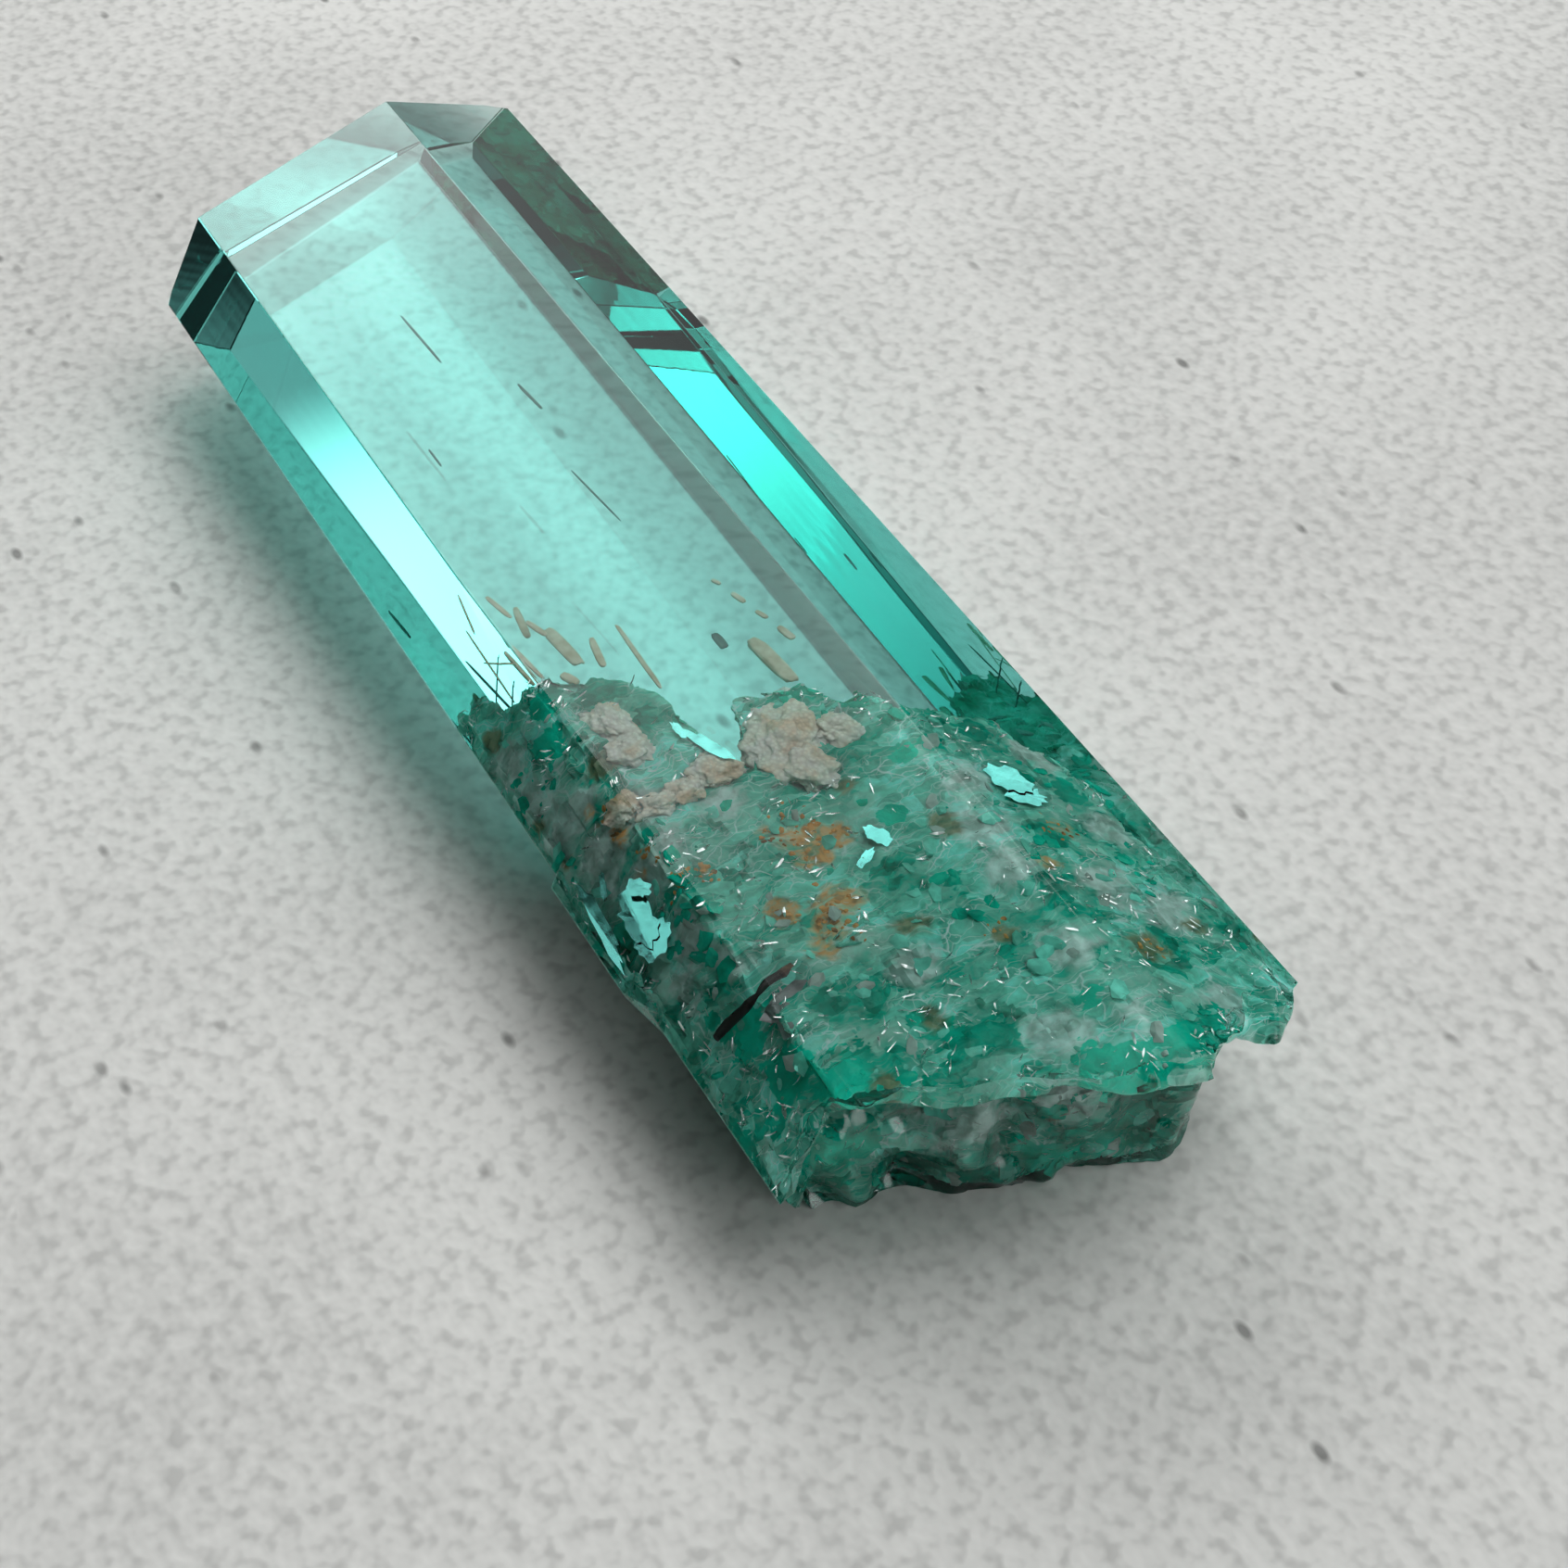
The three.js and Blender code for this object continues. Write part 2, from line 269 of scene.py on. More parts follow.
def bar(outline, start, end):
    """A closed bar with the given (across, up) outline, lying along the crystal."""
    bm = bmesh.new()
    ends = [[bm.verts.new((place, across, up)) for across, up in outline] for place in (start, end)]
    bm.faces.new(ends[0])
    bm.faces.new(reversed(ends[1]))
    count = len(outline)
    for i in range(count):
        after = (i + 1) % count
        bm.faces.new((ends[0][after], ends[0][i], ends[1][i], ends[1][after]))
    bmesh.ops.recalc_face_normals(bm, faces=bm.faces)
    return bm


def slice_off(bm, at, facing):
    """Cuts away everything beyond a plane and closes the cut."""
    geometry = bm.verts[:] + bm.edges[:] + bm.faces[:]
    cut = bmesh.ops.bisect_plane(
        bm, geom=geometry, dist=1e-6, plane_co=at, plane_no=Vector(facing).normalized(), clear_outer=True)
    rim = [part for part in cut["geom_cut"] if isinstance(part, bmesh.types.BMEdge)]
    bmesh.ops.holes_fill(bm, edges=rim, sides=0)
    bmesh.ops.recalc_face_normals(bm, faces=bm.faces)


def repeatable_numbers(seed):
    """Numbers from 0 to 1, the same ones as those that shaped the fracture of the frame's crystal."""
    state = seed
    while True:
        state = (state * 1664525 + 1013904223) % 4294967296
        yield state / 4294967296


def fracture_scoops():
    """The hollows of the fracture, as rows of across, up, radius and depth."""
    numbers = repeatable_numbers(SCOOP_SEED)
    spans = (*BREAK_SPANS, SCOOP_RADIUS, SCOOP_DEPTH)
    rows = [[low + (high - low) * next(numbers) for low, high in spans] for _ in range(SCOOP_COUNT)]
    return np.array(rows)


SCOOPS = fracture_scoops()


def break_place(across, up):
    """How far along the crystal its broken surface lies."""
    step = smoothstep(top_height(across) - up, LIP_THICKNESS, LIP_THICKNESS + LIP_STEP)
    place = along(BREAK_AT_TOP, across) * (1 - step) + along(BREAK_AT_FOOT, across) * step
    reach = np.hypot(across - SCOOPS[:, 0], up - SCOOPS[:, 1]) / SCOOPS[:, 2]
    hollows = SCOOPS[:, 3] * np.clip(1 - reach * reach, 0, None)
    return place - SCOOP_ALLOWANCE + float(hollows.sum())


def fracture_ripple(point):
    """The fine ripple of a glassy fracture, in millimetres."""
    coarse = noise.noise(point * 1.6) * 0.06
    ridge = abs(noise.noise(point * Vector((3.1, 3.1, 4.6)))) * 0.07
    return coarse + ridge + noise.noise(point * 9.0) * 0.012


def broken_surface(across, up):
    """Where the crystal's own broken surface lies along it, with its fine ripple."""
    place = break_place(across, up)
    return place + fracture_ripple(Vector((place, across, up)))


def keep_inside(places):
    """Pulls points that lie outside the crystal to just inside its six long faces and broken surface."""
    own = own_place(places)
    corners = [np.array(corner) for corner in LONG_EDGES.values()]
    for corner, after in zip(corners, corners[1:] + corners[:1]):
        outward = np.array((after[1] - corner[1], corner[0] - after[0])) / np.linalg.norm(after - corner)
        past = np.clip((own[:, 1:] - corner) @ outward + SKIN, 0, None)
        own[:, 1:] -= past[:, None] * outward
    for point in own:
        if point[0] < ROOT_END:
            point[0] = max(point[0], broken_surface(point[1], point[2]) + SKIN)
    return own * MM + np.array(OWN_ORIGIN)


def block_with_face(face_place, back_place, cell, across, up):
    """A block along the crystal from back_place to face_place(across, up), with a point in each cell."""
    across_steps = max(2, round((across[1] - across[0]) / cell))
    up_steps = max(2, round((up[1] - up[0]) / cell))
    bm = bmesh.new()
    grids = []
    for is_back in (False, True):
        grid = []
        for i in range(up_steps + 1):
            height = up[0] + (up[1] - up[0]) * i / up_steps
            row = []
            for j in range(across_steps + 1):
                side = across[0] + (across[1] - across[0]) * j / across_steps
                place = back_place if is_back else face_place(side, height)
                row.append(bm.verts.new((place, side, height)))
            grid.append(row)
        grids.append(grid)
    for grid in grids:
        for i in range(up_steps):
            for j in range(across_steps):
                bm.faces.new((grid[i][j], grid[i][j + 1], grid[i + 1][j + 1], grid[i + 1][j]))
    front, back = grids
    rims = [
        ([row[0] for row in front], [row[0] for row in back]),
        ([row[-1] for row in front], [row[-1] for row in back]),
        (front[0], back[0]),
        (front[-1], back[-1]),
    ]
    for near, far in rims:
        for a, b, c, d in zip(near, near[1:], far[1:], far):
            bm.faces.new((a, b, c, d))
    bmesh.ops.recalc_face_normals(bm, faces=bm.faces)
    return bm


def shown(name, data):
    """A new object in the scene that shows a mesh or a camera."""
    made = bpy.data.objects.new(name, data)
    bpy.context.collection.objects.link(made)
    return made


def shown_form(name, bm):
    """A new object that shows a bmesh, which is used up."""
    mesh = bpy.data.meshes.new(name)
    bm.to_mesh(mesh)
    bm.free()
    return shown(name, mesh)


def new_object(name, bm):
    """Turns a bmesh in the crystal's millimetres into an object in the shared frame."""
    for vert in bm.verts:
        vert.co = in_frame(vert.co)
    return shown_form(name, bm)


def coat(target, material):
    """Gives a piece its one material."""
    target.data.materials.clear()
    target.data.materials.append(material)


def apply_modifiers(target):
    bpy.context.view_layer.update()
    depsgraph = bpy.context.evaluated_depsgraph_get()
    mesh = bpy.data.meshes.new_from_object(target.evaluated_get(depsgraph))
    mesh.name = target.name
    target.modifiers.clear()
    target.data = mesh


def combine(target, tool, operation):
    """Adds, cuts or intersects one object with another, and removes the other."""
    modifier = target.modifiers.new(operation.title(), "BOOLEAN")
    modifier.operation = operation
    modifier.solver = "EXACT"
    modifier.object = tool
    apply_modifiers(target)
    bpy.data.objects.remove(tool)
    if not target.data.polygons:
        raise RuntimeError(f"{operation} left nothing of {target.name}")


def shade(target, crease):
    """Smooth shading that keeps edges sharper than the crease angle."""
    target.data.polygons.foreach_set("use_smooth", [True] * len(target.data.polygons))
    target.data.set_sharp_from_angle(angle=crease)


def facet(target, largest_smooth):
    """Flat shading on the crystal faces and smooth shading on the small faces of a fracture."""
    mesh = target.data
    mesh.set_sharp_from_angle(angle=math.radians(50))
    mesh.polygons.foreach_set("use_smooth", [face.area < largest_smooth for face in mesh.polygons])


def settle(piece):
    """A finished piece rides on the crystal's one body."""
    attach(piece, "root")


# ---- small bodies: chips, grains and plates ------------------------------------------------------

def ball(steps):
    """The corners and faces of a round body, as numpy rows and index triples."""
    bm = bmesh.new()
    bmesh.ops.create_icosphere(bm, subdivisions=steps, radius=1.0)
    corners = np.array([vert.co[:] for vert in bm.verts])
    faces = np.array([[vert.index for vert in face.verts] for face in bm.faces])
    bm.free()
    return corners, faces


class Heap:
    """Collects many small bodies into one mesh, in the shared frame."""

    def __init__(self):
        self.corners = []
        self.faces = []
        self.count = 0

    def add(self, corners, faces, turn, place):
        moved = corners @ np.array(turn).T + np.array(place)
        self.corners.append(moved)
        self.faces.append(faces + self.count)
        self.count += len(corners)

    def lay(self, corners, faces, spin, place):
        """Adds a body that lies flat, turned by a spin in degrees, at a place below the top face."""
        self.add(corners, faces, Matrix.Rotation(math.radians(spin), 3, "Z"), below_top(place))

    def finish(self, name, material, smooth=False, inside=True):
        """Makes the one mesh. Where inside is set, what would stand out of the crystal is pulled in."""
        if not self.corners:
            raise RuntimeError(f"nothing was made for {name}")
        mesh = bpy.data.meshes.new(name)
        corners = np.concatenate(self.corners)
        if inside:
            corners = keep_inside(corners)
        mesh.from_pydata(corners.tolist(), [], np.concatenate(self.faces).tolist())
        mesh.materials.append(material)
        mesh.polygons.foreach_set("use_smooth", [smooth] * len(mesh.polygons))
        settle(shown(name, mesh))


def standing_on(normal, spin):
    """A turn that takes Z to a surface's normal, after a spin about it."""
    return normal.to_track_quat("Z", "Y").to_matrix() @ Matrix.Rotation(spin, 3, "Z")


def rough_ball(steps, radii, roughness, seed):
    """A lump: a ball with uneven radii, pushed in and out by noise."""
    corners, faces = ball(steps)
    offset = Vector((seed * 1.37, seed * 0.71, seed * 2.11))
    for i, corner in enumerate(corners):
        at = Vector(corner)
        push = noise.noise(at * 1.3 + offset) + 0.5 * noise.noise(at * 3.1 + offset)
        push += 0.25 * noise.noise(at * 7.0 + offset)
        corners[i] = corner * (1 + roughness * push)
    return corners * np.array(radii), faces


def angular_ball(radii, rng):
    """A chip: twelve corners at uneven distances, so its twenty sides are flat."""
    corners, faces = ball(1)
    reach = np.array([rng.uniform(0.6, 1.15) for _ in corners])[:, None]
    return corners * reach * np.array(radii), faces


# ---- materials -----------------------------------------------------------------------------------

# Inside the crystal a surface shines far less than it would in air.
INNER_SHINE = 0.12
EMERALD_IOR = 1.575
# How far the flakes' pattern is bent, in metres, and how it is turned across the crystal.
FLAKE_BEND = 0.0008
FLAKE_TURN = math.radians(-22)


class Tree:
    """Puts together the nodes of a material or of the light in few words."""

    def __init__(self, tree):
        self.tree = tree

    def add(self, kind, inputs=None, **settings):
        node = self.tree.nodes.new(kind)
        for name, value in settings.items():
            setattr(node, name, value)
        for name, value in (inputs or {}).items():
            self.put(node.inputs[name], value)
        return node

    def put(self, socket, value):
        if isinstance(value, bpy.types.NodeSocket):
            self.tree.links.new(value, socket)
        elif hasattr(socket.default_value, "__len__") and len(socket.default_value) == 4:
            socket.default_value = (*value, 1.0)[:4]
        else:
            socket.default_value = value

    def sum(self, first, second, operation="ADD"):
        return self.add("ShaderNodeMath", {0: first, 1: second}, operation=operation).outputs["Value"]

    def times(self, first, second):
        return self.sum(first, second, "MULTIPLY")


class Nodes(Tree):
    """A material's nodes, with names for what a finish is made of."""

    def __init__(self, name):
        self.material = bpy.data.materials.new(name)
        self.material.use_nodes = True
        super().__init__(self.material.node_tree)
        self.shader = self.tree.nodes["Principled BSDF"]
        self.output = self.tree.nodes["Material Output"]
        self.place = self.add("ShaderNodeTexCoord").outputs["Object"]

    def set(self, **values):
        for name, value in values.items():
            self.put(self.shader.inputs[name.replace("_", " ")], value)

    def stretched(self, scale, turn=(0.0, 0.0, 0.0), place=None):
        mapping = self.add("ShaderNodeMapping", {
            "Vector": place or self.place, "Scale": scale, "Rotation": turn})
        return mapping.outputs["Vector"]

    def noise(self, scale, detail=3.0, place=None, distortion=0.0):
        node = self.add("ShaderNodeTexNoise", {
            "Vector": place or self.place, "Scale": scale, "Detail": detail, "Distortion": distortion})
        return node.outputs["Fac"]

    def cells(self, scale, feature="F1", place=None, output="Color"):
        node = self.add(
            "ShaderNodeTexVoronoi", {"Vector": place or self.place, "Scale": scale}, feature=feature)
        return node.outputs[output]

    def ramp(self, value, stops):
        node = self.add("ShaderNodeValToRGB", {"Fac": value})
        elements = node.color_ramp.elements
        while len(elements) < len(stops):
            elements.new(0.5)
        for element, (position, colour) in zip(elements, stops):
            element.position = position
            element.color = (*colour, 1.0)
        return node.outputs["Color"]

    def between(self, value, low, high, to_low=0.0, to_high=1.0):
        node = self.add("ShaderNodeMapRange", {
            "Value": value, "From Min": low, "From Max": high, "To Min": to_low, "To Max": to_high})
        return node.outputs["Result"]

    def mix(self, share, first, second):
        node = self.add("ShaderNodeMix", data_type="RGBA")
        for socket, value in (("Factor", share), (6, first), (7, second)):
            self.put(node.inputs[socket], value)
        return node.outputs[2]

    def weighed(self, *pairs):
        """The sum of (value, weight) pairs."""
        total = 0.0
        for value, weight in pairs:
            total = self.sum(self.times(value, weight), total)
        return total

    def bump(self, height, distance, strength):
        node = self.add("ShaderNodeBump", {"Height": height, "Distance": distance, "Strength": strength})
        self.put(self.shader.inputs["Normal"], node.outputs["Normal"])


def shifted(colour, factor):
    return tuple(min(1.0, part * factor) for part in colour[:3])


def emerald_glass(colours):
    """Clear emerald: faint growth lines along the faces, with a slight haze in some of them."""
    nodes = Nodes("clear_emerald")
    lines = nodes.noise(1.0, 0.0, nodes.stretched((60.0, 2600.0, 2600.0)))
    nodes.set(Base_Color=(1.0, 1.0, 1.0), IOR=EMERALD_IOR, Transmission_Weight=1.0,
              Roughness=nodes.between(lines, 0.4, 0.8, 0.0, 0.03))
    nodes.bump(lines, 0.000002, 0.4)
    absorption = nodes.add("ShaderNodeVolumeAbsorption", {"Color": colours.clear, "Density": colours.depth})
    nodes.put(nodes.output.inputs["Volume"], absorption.outputs["Volume"])
    return nodes.material


# Where each zone of the cloudy part fades in and is at its strongest, and how much of it shows there.
ZONE_EDGES = {
    "milky": (0.2, 0.6, 0.8), "deep": (0.4, 0.46, 1.0), "moss": (0.25, 0.6, 0.85), "rust": (0.3, 0.62, 0.9),
}


def cloud_stuff(colours):
    """Fractured emerald: flaky sea green with pale veins, and the zones that the mesh carries."""
    nodes = Nodes("clouded_emerald")
    warp = nodes.add("ShaderNodeTexNoise", {"Vector": nodes.place, "Scale": 1100.0, "Detail": 2.0})
    bent = nodes.add("ShaderNodeVectorMath", {
        0: warp.outputs["Color"], 1: (FLAKE_BEND, FLAKE_BEND, FLAKE_BEND), 2: nodes.place},
        operation="MULTIPLY_ADD")
    place = bent.outputs["Vector"]
    flaky = nodes.stretched((1.0, 0.42, 0.8), (0.0, 0.0, FLAKE_TURN), place)
    broad = nodes.noise(620.0, 3.0, place)
    flakes = nodes.add("ShaderNodeSeparateColor", {"Color": nodes.cells(2300.0, place=flaky)}).outputs[0]
    fine = nodes.noise(5200.0, 2.0, flaky)
    tone = nodes.weighed((broad, 0.75), (flakes, 0.3), (fine, 0.45))
    deep, sea, milky, iron = colours.deep, colours.sea, colours.milky, colours.iron
    colour = nodes.ramp(tone, [
        (0.52, shifted(deep, 0.8)), (0.64, shifted(deep, 1.4)), (0.72, shifted(sea, 0.8)),
        (0.84, shifted(sea, 1.1)), (1.0, shifted(sea, 1.7))])
    pale = shifted(milky, 1.25)
    for scale, width, strength in ((1300.0, 0.022, 0.85), (3300.0, 0.04, 0.6)):
        edge = nodes.cells(scale, "DISTANCE_TO_EDGE", flaky, "Distance")
        vein = nodes.times(
            nodes.between(edge, width, 0.0, 0.0, strength), nodes.between(broad, 0.42, 0.6))
        colour = nodes.mix(vein, colour, pale)
    haze = nodes.between(nodes.noise(900.0, 3.0, flaky), 0.52, 0.74, 0.0, 0.5)
    colour = nodes.mix(haze, colour, milky)
    for scale, low, strength in ((700.0, 1.2, 0.6), (2600.0, 1.1, 0.85)):
        crackle = nodes.add("ShaderNodeTexNoise", {
            "Vector": place, "Scale": scale, "Detail": 3.0}, noise_type="RIDGED_MULTIFRACTAL")
        thread = nodes.between(crackle.outputs["Fac"], low, low + 0.5, 0.0, strength)
        colour = nodes.mix(thread, colour, pale)
    grain = nodes.noise(2600.0, 2.0, place)
    looks = {
        "milky": nodes.ramp(grain, [(0.35, shifted(milky, 0.6)), (0.65, shifted(milky, 1.2))]),
        "deep": nodes.ramp(broad, [(0.35, shifted(deep, 0.8)), (0.65, shifted(deep, 2.0))]),
        "moss": nodes.ramp(grain, [(0.35, (0.08, 0.16, 0.08)), (0.65, (0.36, 0.34, 0.19))]),
        "rust": nodes.ramp(grain, [(0.3, shifted(iron, 0.3)), (0.48, iron), (0.66, (0.78, 0.5, 0.24))]),
    }
    wander = nodes.weighed(
        (nodes.noise(1500.0, 3.0, flaky), 1.5), (nodes.noise(5000.0, 2.0, flaky), 0.7))
    for zone, look in looks.items():
        low, high, strength = ZONE_EDGES[zone]
        reach = nodes.add("ShaderNodeAttribute", attribute_name=zone).outputs["Fac"]
        blurred = nodes.sum(nodes.sum(reach, wander), 1.1, "SUBTRACT")
        share = nodes.times(
            nodes.between(blurred, low, high, 0.0, strength), nodes.between(reach, 0.0, 0.08))
        if zone == "deep":
            clear = share
        elif zone == "rust":
            share = nodes.times(share, nodes.between(fine, 0.36, 0.5, 0.4, 1.0))
        colour = nodes.mix(share, colour, look)
    roughness = nodes.sum(
        nodes.between(fine, 0.3, 0.7, 0.35, 0.65), nodes.times(clear, 0.2), "SUBTRACT")
    nodes.set(Base_Color=colour, Roughness=roughness, Specular_IOR_Level=INNER_SHINE)
    nodes.bump(nodes.noise(4800.0, 2.0), 0.00006, 0.7)
    return nodes.material


def chip_stuff(name, dark, light, roughness):
    """One kind of chip: its colour drifts from chip to chip and within each."""
    nodes = Nodes(name)
    drift = nodes.noise(1300.0, 2.0)
    flecks = nodes.noise(6000.0, 3.0)
    colour = nodes.ramp(nodes.sum(drift, nodes.times(flecks, 0.25)), [(0.42, dark), (0.85, light)])
    nodes.set(Base_Color=colour, Roughness=nodes.between(flecks, 0.3, 0.7, roughness, roughness + 0.25),
              Specular_IOR_Level=INNER_SHINE)
    nodes.bump(flecks, 0.00002, 0.5)
    return nodes.material


def feldspar_stuff(colours):
    """Cream feldspar with pinkish and greyish patches and a sugary surface."""
    nodes = Nodes("feldspar")
    patches = nodes.noise(1400.0, 4.0, distortion=0.6)
    sugar = nodes.cells(9000.0, output="Distance")
    base = colours.feldspar
    brown = (base[0] * 0.5, base[1] * 0.45, base[2] * 0.32)
    colour = nodes.ramp(nodes.weighed((patches, 1.0), (nodes.noise(480.0, 3.0), 0.55)), [
        (0.5, brown), (0.62, base), (0.8, shifted((base[0], base[1] * 1.2, base[2] * 1.4), 1.15)),
        (0.95, (0.95, 0.93, 0.88))])
    colour = nodes.mix(nodes.between(sugar, 0.2, 0.7, 0.0, 0.3), colour, shifted(base, 0.4))
    nodes.set(Base_Color=colour, Roughness=nodes.between(patches, 0.3, 0.7, 0.45, 0.75),
              Specular_IOR_Level=INNER_SHINE)
    nodes.bump(nodes.sum(patches, sugar), 0.00004, 0.6)
    return nodes.material


def iron_stuff(colours):
    """Rusty crust, from yellow-orange to dark brown."""
    nodes = Nodes("iron_stain")
    patches = nodes.noise(2200.0, 5.0)
    base = colours.iron
    colour = nodes.ramp(patches, [
        (0.34, shifted(base, 0.28)), (0.5, base), (0.68, (0.75, 0.42, 0.16))])
    nodes.set(Base_Color=colour, Roughness=nodes.between(patches, 0.3, 0.7, 0.55, 0.85))
    nodes.bump(patches, 0.00005, 0.6)
    return nodes.material


def tourmaline_stuff(colours):
    """A black needle, lined along its length, that turns rusty brown part of the way."""
    nodes = Nodes("tourmaline")
    lines = nodes.noise(1.0, 4.0, nodes.stretched((9000.0, 9000.0, 1500.0)))
    patches = nodes.noise(1500.0, 3.0)
    colour = nodes.ramp(patches, [
        (0.5, colours.tourmaline), (0.62, (0.09, 0.035, 0.015)), (0.8, (0.3, 0.13, 0.05))])
    nodes.set(Base_Color=colour, Roughness=nodes.between(lines, 0.3, 0.7, 0.25, 0.6))
    nodes.bump(lines, 0.00003, 0.7)
    return nodes.material


def mirror_crack(name, colour, low, high, ripple):
    """An air-filled crack, which mirrors light inside the crystal."""
    nodes = Nodes(name)
    streaks = nodes.noise(2600.0, 3.0)
    tint = nodes.ramp(streaks, [(0.3, shifted(colour, 0.7)), (0.6, colour)])
    nodes.set(Base_Color=tint, Metallic=1.0, Roughness=nodes.between(streaks, 0.3, 0.7, low, high))
    nodes.bump(streaks, ripple, 0.5)
    return nodes.material


# Painted shade: the stone's colour is darkened toward this side, the side nearest the camera, where less
# light falls.
PAINTED_SHADE_SIDE = (-0.875, 0.485, 0.0)


def stone_stuff(colours):
    """Pale cast stone: soft clouding, fine grain, scattered dark pores, and painted shade that darkens it
    toward one side.
    """
    nodes = Nodes("pale_stone")
    clouds = nodes.noise(75.0, 1.0)
    mottle = nodes.noise(420.0, 2.0)
    grain = nodes.noise(2300.0, 1.0)
    base = colours.stone
    colour = nodes.ramp(clouds, [(0.3, shifted(base, 0.9)), (0.7, shifted(base, 1.06))])
    colour = nodes.mix(nodes.between(mottle, 0.5, 0.72, 0.0, 0.16), colour, shifted(base, 0.7))
    colour = nodes.mix(nodes.between(grain, 0.5, 0.7, 0.0, 0.5), colour, shifted(base, 0.55))
    colour = nodes.mix(nodes.between(grain, 0.48, 0.3, 0.0, 0.4), colour, shifted(base, 1.12))
    spots = nodes.cells(430.0, output="Distance", place=nodes.stretched((1.0, 2.0, 1.0), (0.0, 0.0, 0.6)))
    pore = nodes.times(nodes.between(spots, 0.16, 0.07, 0.0, 0.75), nodes.between(mottle, 0.52, 0.62))
    colour = nodes.mix(pore, colour, shifted(base, 0.14))
    # Painted shade: the colour darkens toward the near side, as light falling off would darken it.
    painted_shade_side = nodes.add("ShaderNodeVectorMath", {
        0: nodes.place, 1: PAINTED_SHADE_SIDE}, operation="DOT_PRODUCT").outputs["Value"]
    colour = nodes.mix(nodes.between(painted_shade_side, -0.035, 0.05, 0.0, 0.28), colour, shifted(base, 0.3))
    nodes.set(Base_Color=colour, Roughness=nodes.between(grain, 0.3, 0.7, 0.7, 0.9))
    nodes.bump(grain, 0.00006, 0.6)
    return nodes.material


# ---- the pieces ----------------------------------------------------------------------------------

def make_crystal(sizes, colours):
    """The whole clear crystal, with worn edges and a rippled fracture at its root."""
    bm = bar(LONG_EDGES.values(), *BEYOND_BOTH_ENDS)
    left, right = LONG_EDGES["top_left"], LONG_EDGES["top_right"]
    tip_facing = (left[0] - right[0], TIP_AT_TOP_RIGHT - TIP_AT_TOP_LEFT, 0.0)
    slice_off(bm, (TIP_AT_TOP_LEFT, *left), tip_facing)
    for at, facing in TIP_FACETS:
        slice_off(bm, at, facing)
    sliver_facing = (-SLIVER_WIDENING, math.sin(SLIVER_LEAN), math.cos(SLIVER_LEAN))
    slice_off(bm, (SLIVER_START, *left), sliver_facing)
    bmesh.ops.bevel(
        bm, geom=bm.edges[:], offset=sizes.edge_wear / MM, segments=2, profile=0.5,
        affect="EDGES", clamp_overlap=True)
    crystal = new_object("emerald", bm)
    rib = bar(RIB_SECTION, RIB_FROM, RIB_TO)
    outer = max(across for across, _ in RIB_SECTION)
    for vert in rib.verts:
        if vert.co.y > outer - 0.01:
            vert.co.x += -RIB_TAPERS[1] if vert.co.x > RIB_FROM + 1 else RIB_TAPERS[0]
    bmesh.ops.bevel(
        rib, geom=rib.edges[:], offset=RIB_WEAR, segments=2, profile=0.5,
        affect="EDGES", clamp_overlap=True)
    combine(crystal, new_object("rib", rib), "UNION")
    breaker = new_object("broken_off", root_breaker(sizes.break_cell / MM, broken_surface))
    combine(crystal, breaker, "DIFFERENCE")
    facet(crystal, (2.0 * sizes.break_cell) ** 2)
    coat(crystal, emerald_glass(colours))
    settle(crystal)
    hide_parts(CRYSTAL_NODE)
    return crystal


def root_breaker(cell, surface):
    """The block that breaks off the root at surface(across, up)."""
    return block_with_face(surface, BREAKER_BACK, cell, *BREAK_SPANS)


def make_cloud(sizes, colours):
    """The cloudy, fractured part inside the root, as one lumpy body."""
    cloud = new_object("cloud", bar(CLOUD_SECTION, *CLOUD_ENDS))

    def root_place(across, up):
        return break_place(across, up) + CLOUD_INSET

    combine(cloud, new_object("root_cut", root_breaker(0.3, root_place)), "DIFFERENCE")

    def front_place(across, up):
        depth = max(0.0, top_height(across) - up)
        ragged = noise.noise(Vector((0.0, across * 1.1, up * 1.3))) * 0.7
        ragged += noise.noise(Vector((4.0, across * 3.3, up * 3.0))) * 0.3
        return along(CLOUD_FRONT, across) - 0.3 * depth + ragged

    front = block_with_face(front_place, 30.0, 0.22, (-9.0, 7.5), (-1.0, 7.0))
    combine(cloud, new_object("front_cut", front), "DIFFERENCE")
    remesh = cloud.modifiers.new("Even mesh", "REMESH")
    remesh.mode = "VOXEL"
    remesh.voxel_size = sizes.cloud_cell
    apply_modifiers(cloud)
    shape_cloud(cloud, sizes.cloud_relief)
    spread_zones(cloud)
    shade(cloud, math.radians(40))
    coat(cloud, cloud_stuff(colours))
    settle(cloud)
    return cloud


